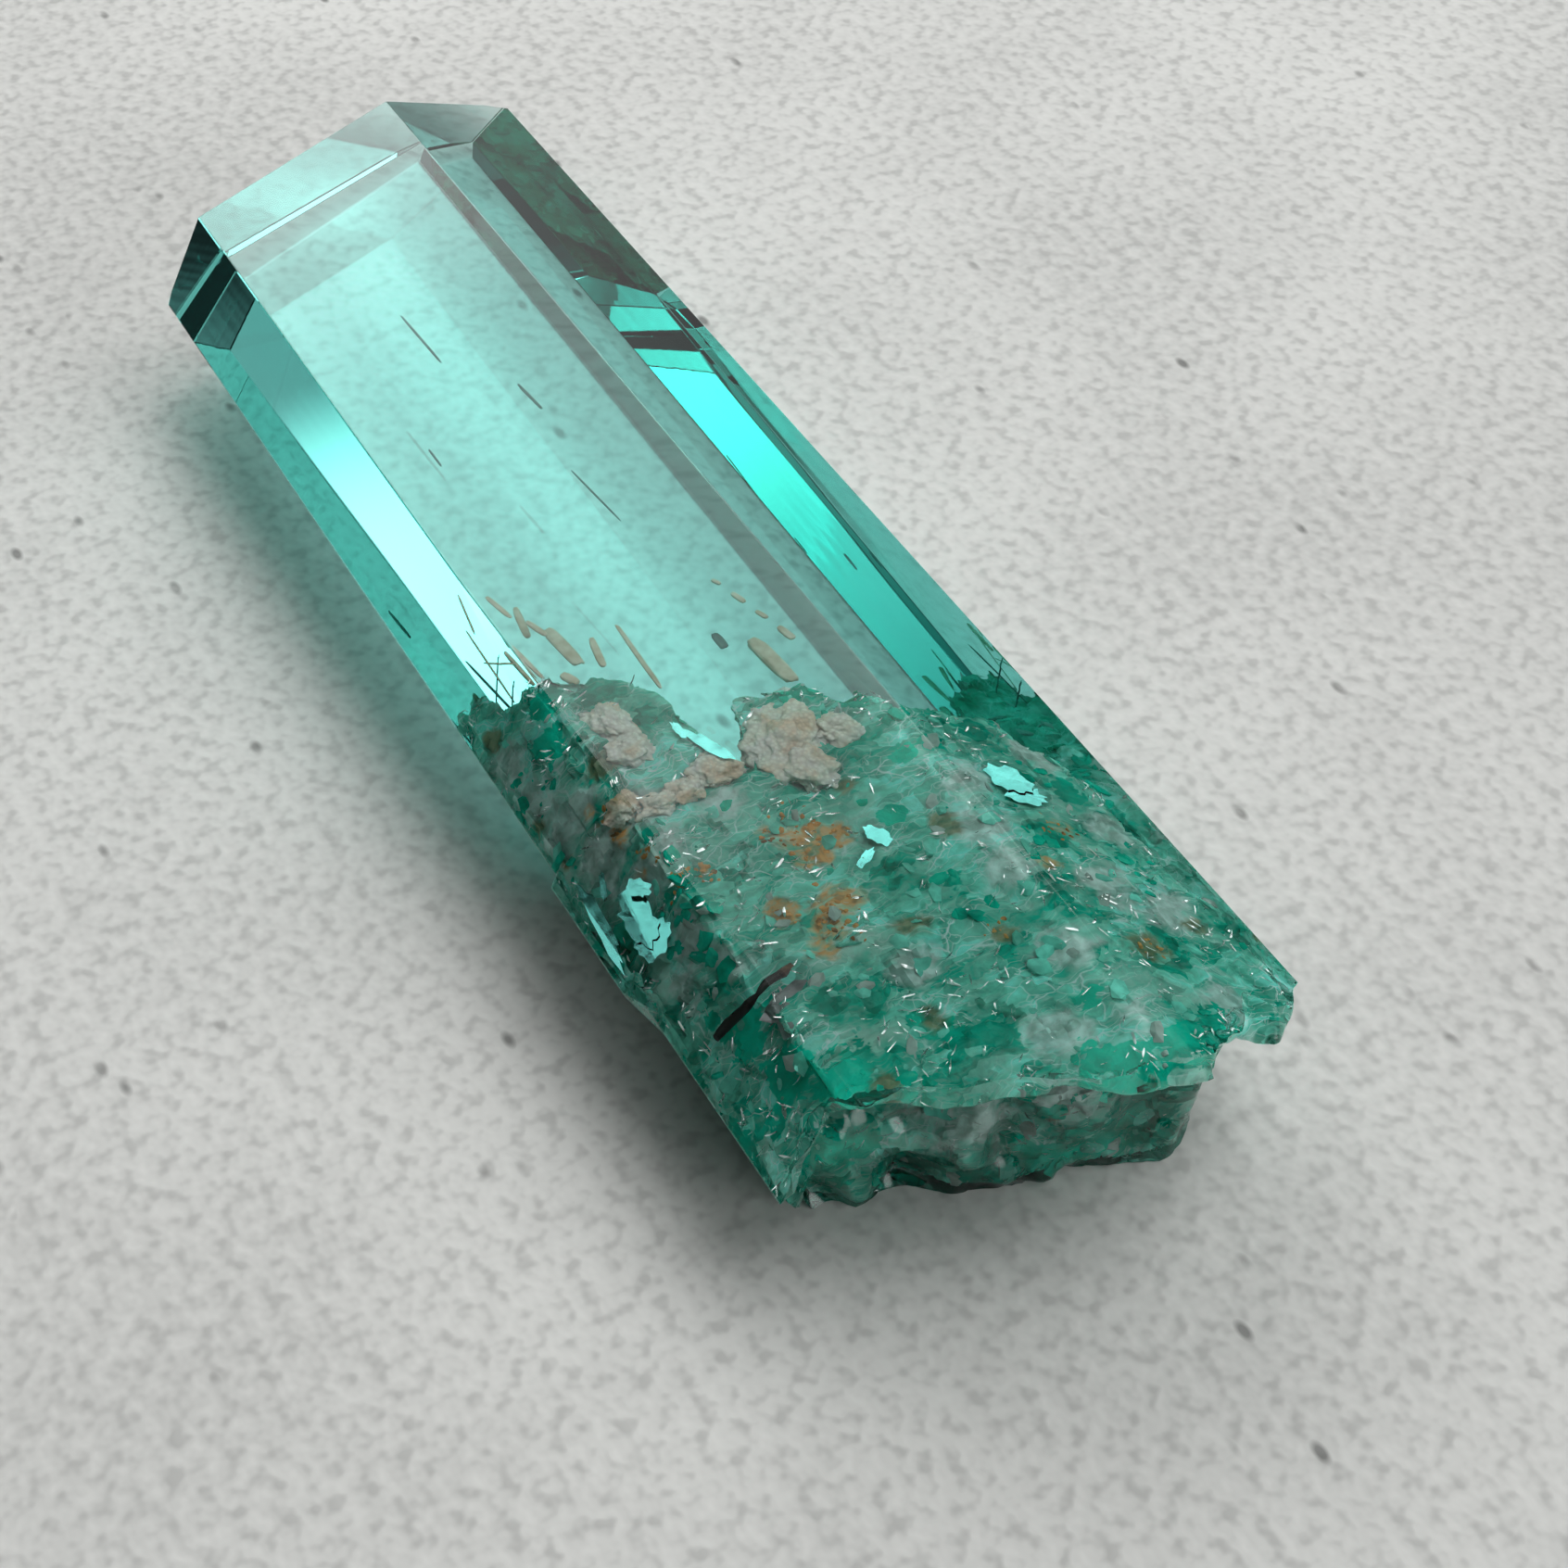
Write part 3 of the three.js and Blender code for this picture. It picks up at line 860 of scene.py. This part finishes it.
def shape_cloud(cloud, relief):
    """Gives the cloud its lumps and shards, rounds its root, and sinks it under what lies on it."""
    hollows = [((x, y), (long + HOLLOW_MARGIN, wide + HOLLOW_MARGIN), GRAIN_HOLLOW)
               for (x, y, _), (long, wide, _), _, _ in FELDSPAR_GRAINS]
    hollows += OTHER_HOLLOWS
    bm = bmesh.new()
    bm.from_mesh(cloud.data)
    bm.normal_update()
    for vert in bm.verts:
        at = own_place(vert.co)
        wander = Vector((noise.noise(at), noise.noise(at * 1.7), 0.0)) * 0.8
        lumps = noise.noise(at * 0.8) * 0.9 + noise.noise(at * 2.1) * 0.5
        shards = noise.cell(at * Vector((1.5, 0.8, 1.2)) + wander) - 0.5
        room = relief * (0.35 + 0.65 * smoothstep(min(at.x, at.z), 0.3, 2.2))
        vert.co += vert.normal * min((lumps + shards * 0.7 + noise.noise(at * 5.5) * 0.3) * relief, room)
        if at.z < UNDER_TOP_FACES:
            continue
        sink = ROOT_ROUNDING * (1 + noise.noise(at * 0.9)) * (1 - smoothstep(at.x + at.y * 0.15, -1.8, 2.6))
        for (x, y), (long, wide), depth in hollows:
            near = math.hypot((at.x - x) / long, (at.y - y) / wide)
            sink = max(sink, depth * (1 - near ** 4))
        vert.co.z -= sink * MM
    bmesh.ops.delete(bm, geom=loose_bits(bm), context="VERTS")
    for vert, place in zip(bm.verts, keep_inside(np.array([vert.co for vert in bm.verts]))):
        vert.co = place
    bm.to_mesh(cloud.data)
    bm.free()


def loose_bits(bm):
    """The corners of every part of a mesh but its largest."""
    left = set(bm.verts)
    parts = []
    while left:
        fresh = [left.pop()]
        part = list(fresh)
        while fresh:
            vert = fresh.pop()
            for edge in vert.link_edges:
                other = edge.other_vert(vert)
                if other in left:
                    left.remove(other)
                    fresh.append(other)
                    part.append(other)
        parts.append(part)
    largest = max(parts, key=len)
    return [vert for part in parts if part is not largest for vert in part]


def spread_zones(cloud):
    """Gives the cloud's mesh one value from 0 to 1 per zone, highest at the middle of each spot."""
    places = np.empty(len(cloud.data.vertices) * 3)
    cloud.data.vertices.foreach_get("co", places)
    places = own_place(places.reshape(-1, 3))
    for zone, spots in CLOUD_ZONES.items():
        values = np.zeros(len(places))
        for *centre, spread in spots:
            distance = np.linalg.norm(places - np.array(centre), axis=1)
            values = np.maximum(values, 1 - distance / spread)
        cloud.data.attributes.new(zone, "FLOAT", "POINT").data.foreach_set("value", values)


# How often a random face of the cloud is tried for each spot that is asked for.
TRIES_PER_SPOT = 40


def cloud_spots(count, rng, wanted):
    """Random spots on the cloud's surface, as (place, normal), where wanted(place) is true."""
    cloud = bpy.data.objects.get("cloud")
    if cloud is None:
        raise RuntimeError("make the cloud first")
    faces = cloud.data.polygons
    spots = []
    for _ in range(count * TRIES_PER_SPOT):
        face = faces[rng.randrange(len(faces))]
        if wanted(face.center, face.normal):
            spots.append((face.center.copy(), face.normal.copy()))
        if len(spots) == count:
            break
    return spots


def make_chips(sizes, colours):
    """Chips of emerald, from deep green to milky, bedded in the surface of the cloud."""
    kinds = [
        ("deep", (0.9, 2.1), 0.12, 0.4, (0.12, 1.0), 3.0),
        ("sea", (0.7, 1.6), 0.2, 0.38, (-1.0, 1.0), 9.0),
        ("milky", (0.4, 0.85), 0.3, 0.12, (-1.0, -0.02), 5.0),
    ]
    for kind, tones, roughness, share, band, offset in kinds:
        name = kind + "_chips"
        dark, light = (shifted(getattr(colours, kind), tone) for tone in tones)
        material = chip_stuff(kind + "_emerald", dark, light, roughness)
        rng = random.Random(name)
        shift = Vector((offset, offset * 2, 0.0))

        def wanted(place, normal):
            return normal.z > -0.2 and band[0] < noise.noise(place / MM * 0.55 + shift) < band[1]

        heap = Heap()
        for place, normal in cloud_spots(int(sizes.chip_count * share), rng, wanted):
            size = sizes.chip_size * rng.uniform(0.25, 1.0) ** 1.6
            radii = (size, size * rng.uniform(0.4, 0.9), size * rng.uniform(0.16, 0.36))
            corners, faces = angular_ball(radii, rng)
            lean = Vector((rng.gauss(0, 0.25), rng.gauss(0, 0.25), 0.0))
            turn = standing_on((normal + lean).normalized(), rng.uniform(0, math.tau))
            heap.add(corners, faces, turn, place)
        heap.finish(name, material)


# Each grain: [along, across, below the top face], its three radii, its spin in degrees, and a seed.
FELDSPAR_GRAINS = [
    ((10.75, -0.1, 0.62), (1.25, 0.95, 0.4), -24, 3),
    ((9.6, -0.15, 0.6), (0.85, 0.62, 0.36), 20, 8),
    ((10.3, -1.25, 0.62), (0.7, 0.6, 0.34), 30, 17),
    ((13.3, 3.2, 0.6), (0.8, 0.5, 0.34), 10, 12),
    ((12.2, 3.15, 0.62), (0.75, 0.55, 0.34), 50, 15),
    ((10.55, 1.85, 0.5), (0.5, 0.62, 0.26), -35, 21),
    ((10.4, 2.65, 0.5), (0.42, 0.5, 0.25), 20, 26),
    ((10.3, 3.4, 0.5), (0.36, 0.5, 0.25), 0, 31),
    ((10.75, 4.1, 0.6), (0.42, 0.4, 0.24), 60, 36),
]
# The hollow that the cloud leaves over each grain: its depth, and how far it reaches past the grain.
GRAIN_HOLLOW = 0.32
HOLLOW_MARGIN = 0.15
# Other hollows in the cloud: [along, across], half-length and half-width, and depth.
OTHER_HOLLOWS = [
    ((4.2, 4.6), (0.7, 1.1), 0.32), ((4.2, 3.7), (0.6, 0.8), 0.32), ((8.1, 5.0), (1.5, 0.9), 0.7),
    ((7.2, -4.2), (1.0, 0.9), 0.5),
]
ROOT_ROUNDING = 0.35
# Below this height nothing sinks.
UNDER_TOP_FACES = 3


def below_top(place):
    """Turns [along, across, below the top face] into a place in the shared frame."""
    position, across, depth = place
    return in_frame((position, across, top_height(across) - depth))


def make_grains(sizes, colours):
    """Cream and pinkish feldspar grains near the front of the cloud."""
    heap = Heap()
    for place, radii, spin, seed in FELDSPAR_GRAINS:
        corners, faces = rough_ball(5, [part * MM for part in radii], 0.5, seed)
        heap.lay(corners, faces, spin, place)
    heap.finish("feldspar_grains", feldspar_stuff(colours), smooth=True)


# Each stain: [along, across], how far it spreads, and how many crumbs it holds.
IRON_STAINS = [
    ((7.6, 1.1), 0.5, 34), ((8.0, 1.7), 0.3, 16), ((9.2, 4.3), 0.16, 16), ((8.1, 3.95), 0.14, 16),
    ((7.9, 3.45), 0.14, 12), ((5.2, 1.7), 0.42, 34), ((5.9, 2.6), 0.2, 10), ((5.3, -4.3), 0.35, 14),
    ((1.4, -4.0), 0.25, 10), ((2.9, -1.3), 0.2, 8), ((10.6, 4.2), 0.25, 12),
]


def make_stains(sizes, colours):
    """Crusts of rusty crumbs on the cloud."""
    rng = random.Random("iron")
    cloud = bpy.data.objects["cloud"]
    tree = BVHTree.FromObject(cloud, bpy.context.evaluated_depsgraph_get())
    heap = Heap()
    for (position, across), spread, count in IRON_STAINS:
        for _ in range(count):
            x = rng.gauss(position, spread)
            y = rng.gauss(across, spread * 0.7)
            hit, normal, _, _ = tree.ray_cast(in_frame((x, y, 8.0)), Vector((0.0, 0.0, -1.0)))
            if hit is None:
                continue
            size = rng.uniform(0.04, 0.12) * MM
            corners, faces = angular_ball((size, size * rng.uniform(0.5, 1.0), size * 0.5), rng)
            heap.add(corners, faces, standing_on(normal, rng.uniform(0, math.tau)), hit)
    heap.finish("iron_stains", iron_stuff(colours))


# Each flake of mica: its [along, across, below the top face], its three radii and its spin in degrees.
MICA_FLAKES = [((3.55, 3.75, 0.36), (0.5, 0.85, 0.07), 12), ((3.1, 4.0, 0.4), (0.35, 0.5, 0.06), 30)]


# The needle's middle line, [along, across, up], with its half-width at each place.
NEEDLE = [
    ((4.38, 5.05, 3.85), 0.1), ((4.32, 4.8, 4.3), 0.13), ((4.22, 4.5, 4.72), 0.12),
    ((4.18, 4.15, 5.02), 0.08), ((4.25, 3.8, 5.14), 0.11), ((4.3, 3.5, 5.18), 0.12),
    ((4.42, 3.2, 5.18), 0.06),
]
NEEDLE_SIDES = 7


def needle_form():
    """The needle's uneven seven-sided body, in the shared frame."""
    bm = bmesh.new()
    rings = []
    for place, width in NEEDLE:
        ring = []
        for i in range(NEEDLE_SIDES):
            angle = math.tau * i / NEEDLE_SIDES
            reach = width * MM * (1 + 0.3 * noise.noise(Vector((place[1] * 3, i * 1.7, 0.0))))
            outward = (
                1.1 * math.cos(angle) * reach, 0.2 * math.cos(angle) * reach,
                0.7 * math.sin(angle) * reach)
            ring.append(bm.verts.new(in_frame(place) + Vector(outward)))
        rings.append(ring)
    for first, second in zip(rings, rings[1:]):
        for i in range(NEEDLE_SIDES):
            after = (i + 1) % NEEDLE_SIDES
            bm.faces.new((first[i], first[after], second[after], second[i]))
    bm.faces.new(rings[0])
    bm.faces.new(reversed(rings[-1]))
    bmesh.ops.recalc_face_normals(bm, faces=bm.faces)
    bmesh.ops.subdivide_edges(bm, edges=bm.edges[:], cuts=2, use_grid_fill=True)
    for vert in bm.verts:
        vert.co += vert.normal * noise.noise(vert.co / MM * 3.0) * 0.05 * MM
    return bm


def make_needle(sizes, colours):
    """The tourmaline needle and the grey flakes of mica beside it."""
    needle = shown_form("tourmaline_needle", needle_form())
    coat(needle, tourmaline_stuff(colours))
    settle(needle)
    heap = Heap()
    rng = random.Random("mica")
    grey = chip_stuff("grey_mica", (0.1, 0.12, 0.12), (0.42, 0.46, 0.45), 0.2)
    for place, radii, spin in MICA_FLAKES:
        corners, faces = angular_ball([part * MM for part in radii], rng)
        heap.lay(corners, faces, spin, place)
    heap.finish("mica_flakes", grey)


# How square the ends and sides are: 1 is an ellipsoid, 0 a box.
BLUNTNESS = 0.55
# Each tube or slender crystal: its two ends [along, across, below the top face], width and height.
TAN_TUBES = [
    ((14.3, -1.15, 1.0), (12.4, -1.3, 0.85), 0.42, 0.25),
    ((17.3, 3.0, 1.0), (15.6, 2.9, 0.8), 0.36, 0.22),
    ((16.4, 1.5, 0.8), (13.8, 1.6, 0.7), 0.13, 0.1),
    ((18.5, 3.3, 1.2), (17.3, 3.5, 1.1), 0.2, 0.12),
    ((18.9, 3.9, 0.5), (17.9, 3.7, 0.5), 0.14, 0.1),
    ((17.6, 3.4, 0.6), (16.9, 3.2, 0.6), 0.16, 0.12),
    ((17.0, 4.1, 0.6), (15.6, 3.9, 0.7), 0.12, 0.1),
    ((16.2, 2.3, 0.6), (15.1, 2.5, 0.5), 0.2, 0.14),
    ((15.4, 3.5, 0.5), (14.9, 3.3, 0.5), 0.25, 0.2),
    ((19.6, 4.2, 0.6), (18.3, 4.3, 0.9), 0.07, 0.05),
    ((18.6, 4.4, 0.9), (15.9, 4.25, 1.3), 0.06, 0.05),
    ((17.4, 4.5, 0.8), (16.4, 4.1, 0.5), 0.06, 0.04),
    ((16.6, -1.3, 0.7), (16.3, -1.35, 0.7), 0.12, 0.1),
    ((15.9, -1.5, 0.7), (15.4, -1.55, 0.7), 0.16, 0.1),
    ((15.0, -1.7, 0.7), (14.6, -1.75, 0.7), 0.14, 0.1),
    ((14.2, -1.9, 0.7), (13.6, -1.95, 0.7), 0.2, 0.14),
]
DARK_TUBES = [
    ((31.2, 0.9, 1.2), (28.6, 0.8, 1.2), 0.07, 0.05),
    ((26.6, -0.6, 1.2), (25.3, -0.7, 1.2), 0.09, 0.06),
    ((22.4, -0.2, 1.0), (20.0, -0.4, 1.0), 0.05, 0.04),
    ((25.4, 2.6, 1.3), (24.6, 2.6, 1.3), 0.06, 0.04),
    ((14.9, -0.45, 0.9), (14.3, -0.45, 0.9), 0.24, 0.1),
    ((18.2, 4.6, 1.2), (14.6, 4.35, 1.2), 0.07, 0.06),
    ((17.2, 4.1, 0.9), (16.0, 4.75, 1.5), 0.05, 0.05),
    ((16.2, 4.2, 0.9), (15.2, 4.7, 1.4), 0.05, 0.05),
]


def make_tubes(sizes, colours):
    """Slender crystals and hollow tubes along the prism, in the clear part."""
    kinds = [
        ("tan_tubes", TAN_TUBES, chip_stuff("tan_needle", (0.6, 0.46, 0.3), (0.92, 0.84, 0.7), 0.3)),
        ("dark_tubes", DARK_TUBES, chip_stuff("dark_tube", (0.05, 0.14, 0.13), (0.14, 0.3, 0.27), 0.3)),
    ]
    for name, rows, material in kinds:
        heap = Heap()
        for start, end, width, height in rows:
            a, b = below_top(start), below_top(end)
            corners, faces = rough_ball(4, (1.0, 1.0, 1.0), 0.2, width * 50)
            corners = np.sign(corners) * np.abs(corners) ** BLUNTNESS
            corners *= ((b - a).length / 2, width / 2 * MM, height / 2 * MM)
            turn = (b - a).to_track_quat("X", "Z").to_matrix()
            heap.add(corners, faces, turn, (a + b) / 2)
        heap.finish(name, material, smooth=True)


# Each open crack: its [along, across, up], where it faces, its two half-lengths and its spin in degrees.
FACING_UP = (0.080, 0.096, 0.992)
FACING_LEFT = (0.071, 0.527, 0.847)
FACING_RIGHT = (0.081, -0.196, 0.977)
CRACK_SCATTER = 0.17
OPEN_CRACKS = [
    ((7.35, -4.2, 4.68), FACING_RIGHT, (0.62, 0.5), 20),
    ((6.75, -4.25, 4.62), FACING_RIGHT, (0.4, 0.55), -30),
    ((11.3, 1.62, 5.28), FACING_UP, (0.75, 0.17), 60),
    ((12.1, 2.0, 5.28), FACING_UP, (0.35, 0.1), 45),
    ((8.25, 5.02, 4.04), FACING_LEFT, (0.85, 0.42), 5),
    ((7.5, 5.0, 4.04), FACING_LEFT, (0.5, 0.5), 40),
    ((8.8, 4.72, 4.4), FACING_LEFT, (0.4, 0.22), 35),
    ((9.3, 5.55, 3.3), FACING_LEFT, (1.6, 0.2), 0),
    ((9.7, 5.2, 3.85), FACING_LEFT, (0.4, 0.1), -20),
    ((6.75, -0.35, 5.3), FACING_UP, (0.42, 0.22), 60),
    ((6.3, 0.25, 5.25), FACING_UP, (0.36, 0.12), -20),
]


def plate(half_length, half_width, rng, points, ripple, dish):
    """A thin, slightly dished plate with an uneven rim."""
    rim = []
    for i in range(points):
        angle = math.tau * i / points
        reach = 1 + rng.uniform(-ripple, ripple)
        rim.append((math.cos(angle) * half_length * reach, math.sin(angle) * half_width * reach, 0.0))
    corners = np.array([(0.0, 0.0, dish * min(half_length, half_width)), *rim])
    faces = np.array([(0, i + 1, (i + 1) % points + 1) for i in range(points)])
    return corners, faces


def make_cracks(sizes, colours):
    """Open cracks that mirror the light: large ones, each in its place, and many small ones in the root."""
    rng = random.Random("cracks")
    windows = Heap()
    for place, facing, (length, width), spin in OPEN_CRACKS:
        corners, faces = plate(length * MM, width * MM, rng, 26, 0.2, 0.01)
        windows.add(corners, faces, standing_on(Vector(facing), math.radians(spin)), in_frame(place))
    windows.finish(
        "open_cracks", mirror_crack("open_crack", (0.12, 0.44, 0.4), 0.05, 0.25, 0.000006), inside=False)
    small = Heap()

    def wanted(place, normal):
        crowded = noise.noise(place / MM * 0.7) + noise.noise(place / MM * 2.3) * 0.6
        on_top = normal.z > 0.2 and crowded > 0.1
        at_root = normal.x < -0.4 and normal.z > -0.5 and crowded > -0.35
        return on_top or at_root

    for place, normal in cloud_spots(sizes.crack_count, rng, wanted):
        length = rng.uniform(0.04, 0.2) * MM
        corners, faces = plate(length, length * rng.uniform(0.08, 0.22), rng, 8, 0.3, 0.04)
        corners[:, 2] += (corners[:, 0] / length) ** 2 * length * rng.uniform(0.0, 0.4)
        across = own_place(place).y
        facing = Vector(FACING_LEFT if across > 4.2 else FACING_RIGHT if across < -2.8 else FACING_UP)
        facing += Vector([rng.gauss(0, CRACK_SCATTER) for _ in range(3)])
        turn = standing_on(facing.normalized(), rng.uniform(0, math.tau))
        small.add(corners, faces, turn, place + normal * rng.uniform(0.05, 0.16) * MM)
    small.finish("small_cracks", mirror_crack("crack_glint", (0.95, 0.98, 0.97), 0.15, 0.4, 0.00003))


# ---- the stage -----------------------------------------------------------------------------------

CAMERA_AT = (-50.649, 23.567, 51.141)
CAMERA_HEADING = math.radians(-29)
CAMERA_PITCH = math.radians(-45)
CAMERA_LENS = 63.83
# Each soft panel of the light tent: its heading and height in degrees, the angle out to which it is
# even, the angle at which it has faded away, and its brightness.
SOFT_PANELS = [
    (-90, 60, 10, 34, 2.9),
    (0, 36, 7, 26, 1.8),
    (-35, 13, 5, 20, 0.5),
    (-28, 31, 3, 8, 3.0),
    (-40, 27, 3, 8, 2.6),
    (-12, 28, 3, 11, 1.8),
    (-36, 41, 3, 10, 2.4),
    (-150, 20, 6, 24, 2.4),
]
ROOM_GLOW = 0.02
FLOOR_HALF_WIDTH = 0.6
FLOOR_GAP = 0.02 * MM
LIGHT_BOUNCES = {
    "max_bounces": 12, "diffuse_bounces": 2, "transmission_bounces": 12, "glossy_bounces": 6,
    "blur_glossy": 0.0,
}


def direction(heading, height):
    flat = math.cos(height)
    return Vector((flat * math.cos(heading), flat * math.sin(heading), math.sin(height)))


def soft_light():
    """A dim room with soft panels around and above the crystal."""
    world = bpy.data.worlds.new("soft_studio")
    bpy.context.scene.world = world
    world.use_nodes = True
    tree = Tree(world.node_tree)
    place = tree.add("ShaderNodeTexCoord").outputs["Generated"]
    unit = tree.add("ShaderNodeVectorMath", {0: place}, operation="NORMALIZE").outputs["Vector"]
    total = ROOM_GLOW
    for heading, height, core, rim, brightness in SOFT_PANELS:
        middle = direction(math.radians(heading), math.radians(height))
        facing = tree.add("ShaderNodeVectorMath", {0: unit, 1: middle}, operation="DOT_PRODUCT")
        glow = tree.add("ShaderNodeMapRange", {
            "Value": facing.outputs["Value"], "From Min": math.cos(math.radians(rim)),
            "From Max": math.cos(math.radians(core)), "To Max": brightness},
            interpolation_type="SMOOTHSTEP")
        total = tree.sum(glow.outputs["Result"], total)
    background = world.node_tree.nodes["Background"]
    tree.put(background.inputs["Color"], (1.0, 1.0, 1.0))
    tree.put(background.inputs["Strength"], total)


def make_stage(sizes, colours):
    """The stone floor, the soft light and the camera."""
    bm = bmesh.new()
    bmesh.ops.create_grid(bm, x_segments=8, y_segments=8, size=FLOOR_HALF_WIDTH)
    floor = shown_form("floor", bm)
    coat(floor, stone_stuff(colours))
    floor.location.z = FRAME_BOX[0].z - FLOOR_GAP
    soft_light()
    camera_data = bpy.data.cameras.new("camera")
    camera_data.lens = CAMERA_LENS
    camera_data.sensor_width = 36
    camera_data.clip_start = 0.001
    camera = shown("camera", camera_data)
    camera.location = Vector(CAMERA_AT) * MM
    camera.rotation_euler = direction(CAMERA_HEADING, CAMERA_PITCH).to_track_quat("-Z", "Y").to_euler()
    scene = bpy.context.scene
    scene.camera = camera
    scene.view_settings.view_transform = "Standard"
    scene.view_settings.exposure = 0.05
    for name, value in LIGHT_BOUNCES.items():
        setattr(scene.cycles, name, value)


# ---- the add-on ----------------------------------------------------------------------------------

class PieceOperator:
    """What the operators share: each makes its pieces from the scene's sizes and colours."""
    bl_options = {"REGISTER", "UNDO"}

    def execute(self, context):
        self.make(context.scene.emerald_sizes, context.scene.emerald_colours)
        return {"FINISHED"}


class EMERALD_OT_crystal(PieceOperator, bpy.types.Operator):
    """Make the clear crystal"""
    bl_idname = "emerald.crystal"
    bl_label = "Crystal"
    make = staticmethod(make_crystal)


class EMERALD_OT_cloud(PieceOperator, bpy.types.Operator):
    """Make the cloudy, fractured part of the root"""
    bl_idname = "emerald.cloud"
    bl_label = "Cloudy root"
    make = staticmethod(make_cloud)


class EMERALD_OT_chips(PieceOperator, bpy.types.Operator):
    """Scatter chips of emerald on the cloudy part"""
    bl_idname = "emerald.chips"
    bl_label = "Emerald chips"
    make = staticmethod(make_chips)


class EMERALD_OT_grains(PieceOperator, bpy.types.Operator):
    """Make the feldspar grains"""
    bl_idname = "emerald.grains"
    bl_label = "Feldspar grains"
    make = staticmethod(make_grains)


class EMERALD_OT_stains(PieceOperator, bpy.types.Operator):
    """Make the iron stains"""
    bl_idname = "emerald.stains"
    bl_label = "Iron stains"
    make = staticmethod(make_stains)


class EMERALD_OT_needle(PieceOperator, bpy.types.Operator):
    """Make the tourmaline needle and its mica flakes"""
    bl_idname = "emerald.needle"
    bl_label = "Needle and mica"
    make = staticmethod(make_needle)


class EMERALD_OT_tubes(PieceOperator, bpy.types.Operator):
    """Make the slender crystals and tubes in the clear part"""
    bl_idname = "emerald.tubes"
    bl_label = "Tubes"
    make = staticmethod(make_tubes)


class EMERALD_OT_cracks(PieceOperator, bpy.types.Operator):
    """Make the open cracks that mirror the light"""
    bl_idname = "emerald.cracks"
    bl_label = "Cracks"
    make = staticmethod(make_cracks)


class EMERALD_OT_stage(PieceOperator, bpy.types.Operator):
    """Make the floor, the light and the camera"""
    bl_idname = "emerald.stage"
    bl_label = "Stage"
    make = staticmethod(make_stage)


PIECES = (
    EMERALD_OT_crystal, EMERALD_OT_cloud, EMERALD_OT_chips, EMERALD_OT_grains, EMERALD_OT_stains,
    EMERALD_OT_needle, EMERALD_OT_tubes, EMERALD_OT_cracks, EMERALD_OT_stage,
)


class EMERALD_PT_panel(bpy.types.Panel):
    """The sizes, the colours and a button for each piece"""
    bl_idname = "EMERALD_PT_panel"
    bl_label = "Emerald crystal"
    bl_space_type = "VIEW_3D"
    bl_region_type = "UI"
    bl_category = "Emerald"

    def draw(self, context):
        layout = self.layout
        for group in (context.scene.emerald_sizes, context.scene.emerald_colours):
            box = layout.box()
            for name in group.__annotations__:
                box.prop(group, name)
        for piece in PIECES:
            layout.operator(piece.bl_idname)


CLASSES = (CrystalSizes, CrystalColours, *PIECES, EMERALD_PT_panel)


def register():
    for cls in CLASSES:
        bpy.utils.register_class(cls)
    bpy.types.Scene.emerald_sizes = PointerProperty(type=CrystalSizes)
    bpy.types.Scene.emerald_colours = PointerProperty(type=CrystalColours)


def unregister():
    del bpy.types.Scene.emerald_colours
    del bpy.types.Scene.emerald_sizes
    for cls in reversed(CLASSES):
        bpy.utils.unregister_class(cls)


def main():
    register()
    for piece in PIECES:
        group, name = piece.bl_idname.split(".")
        getattr(getattr(bpy.ops, group), name)()
    bpy.context.view_layer.update()


if __name__ == "__main__":
    main()
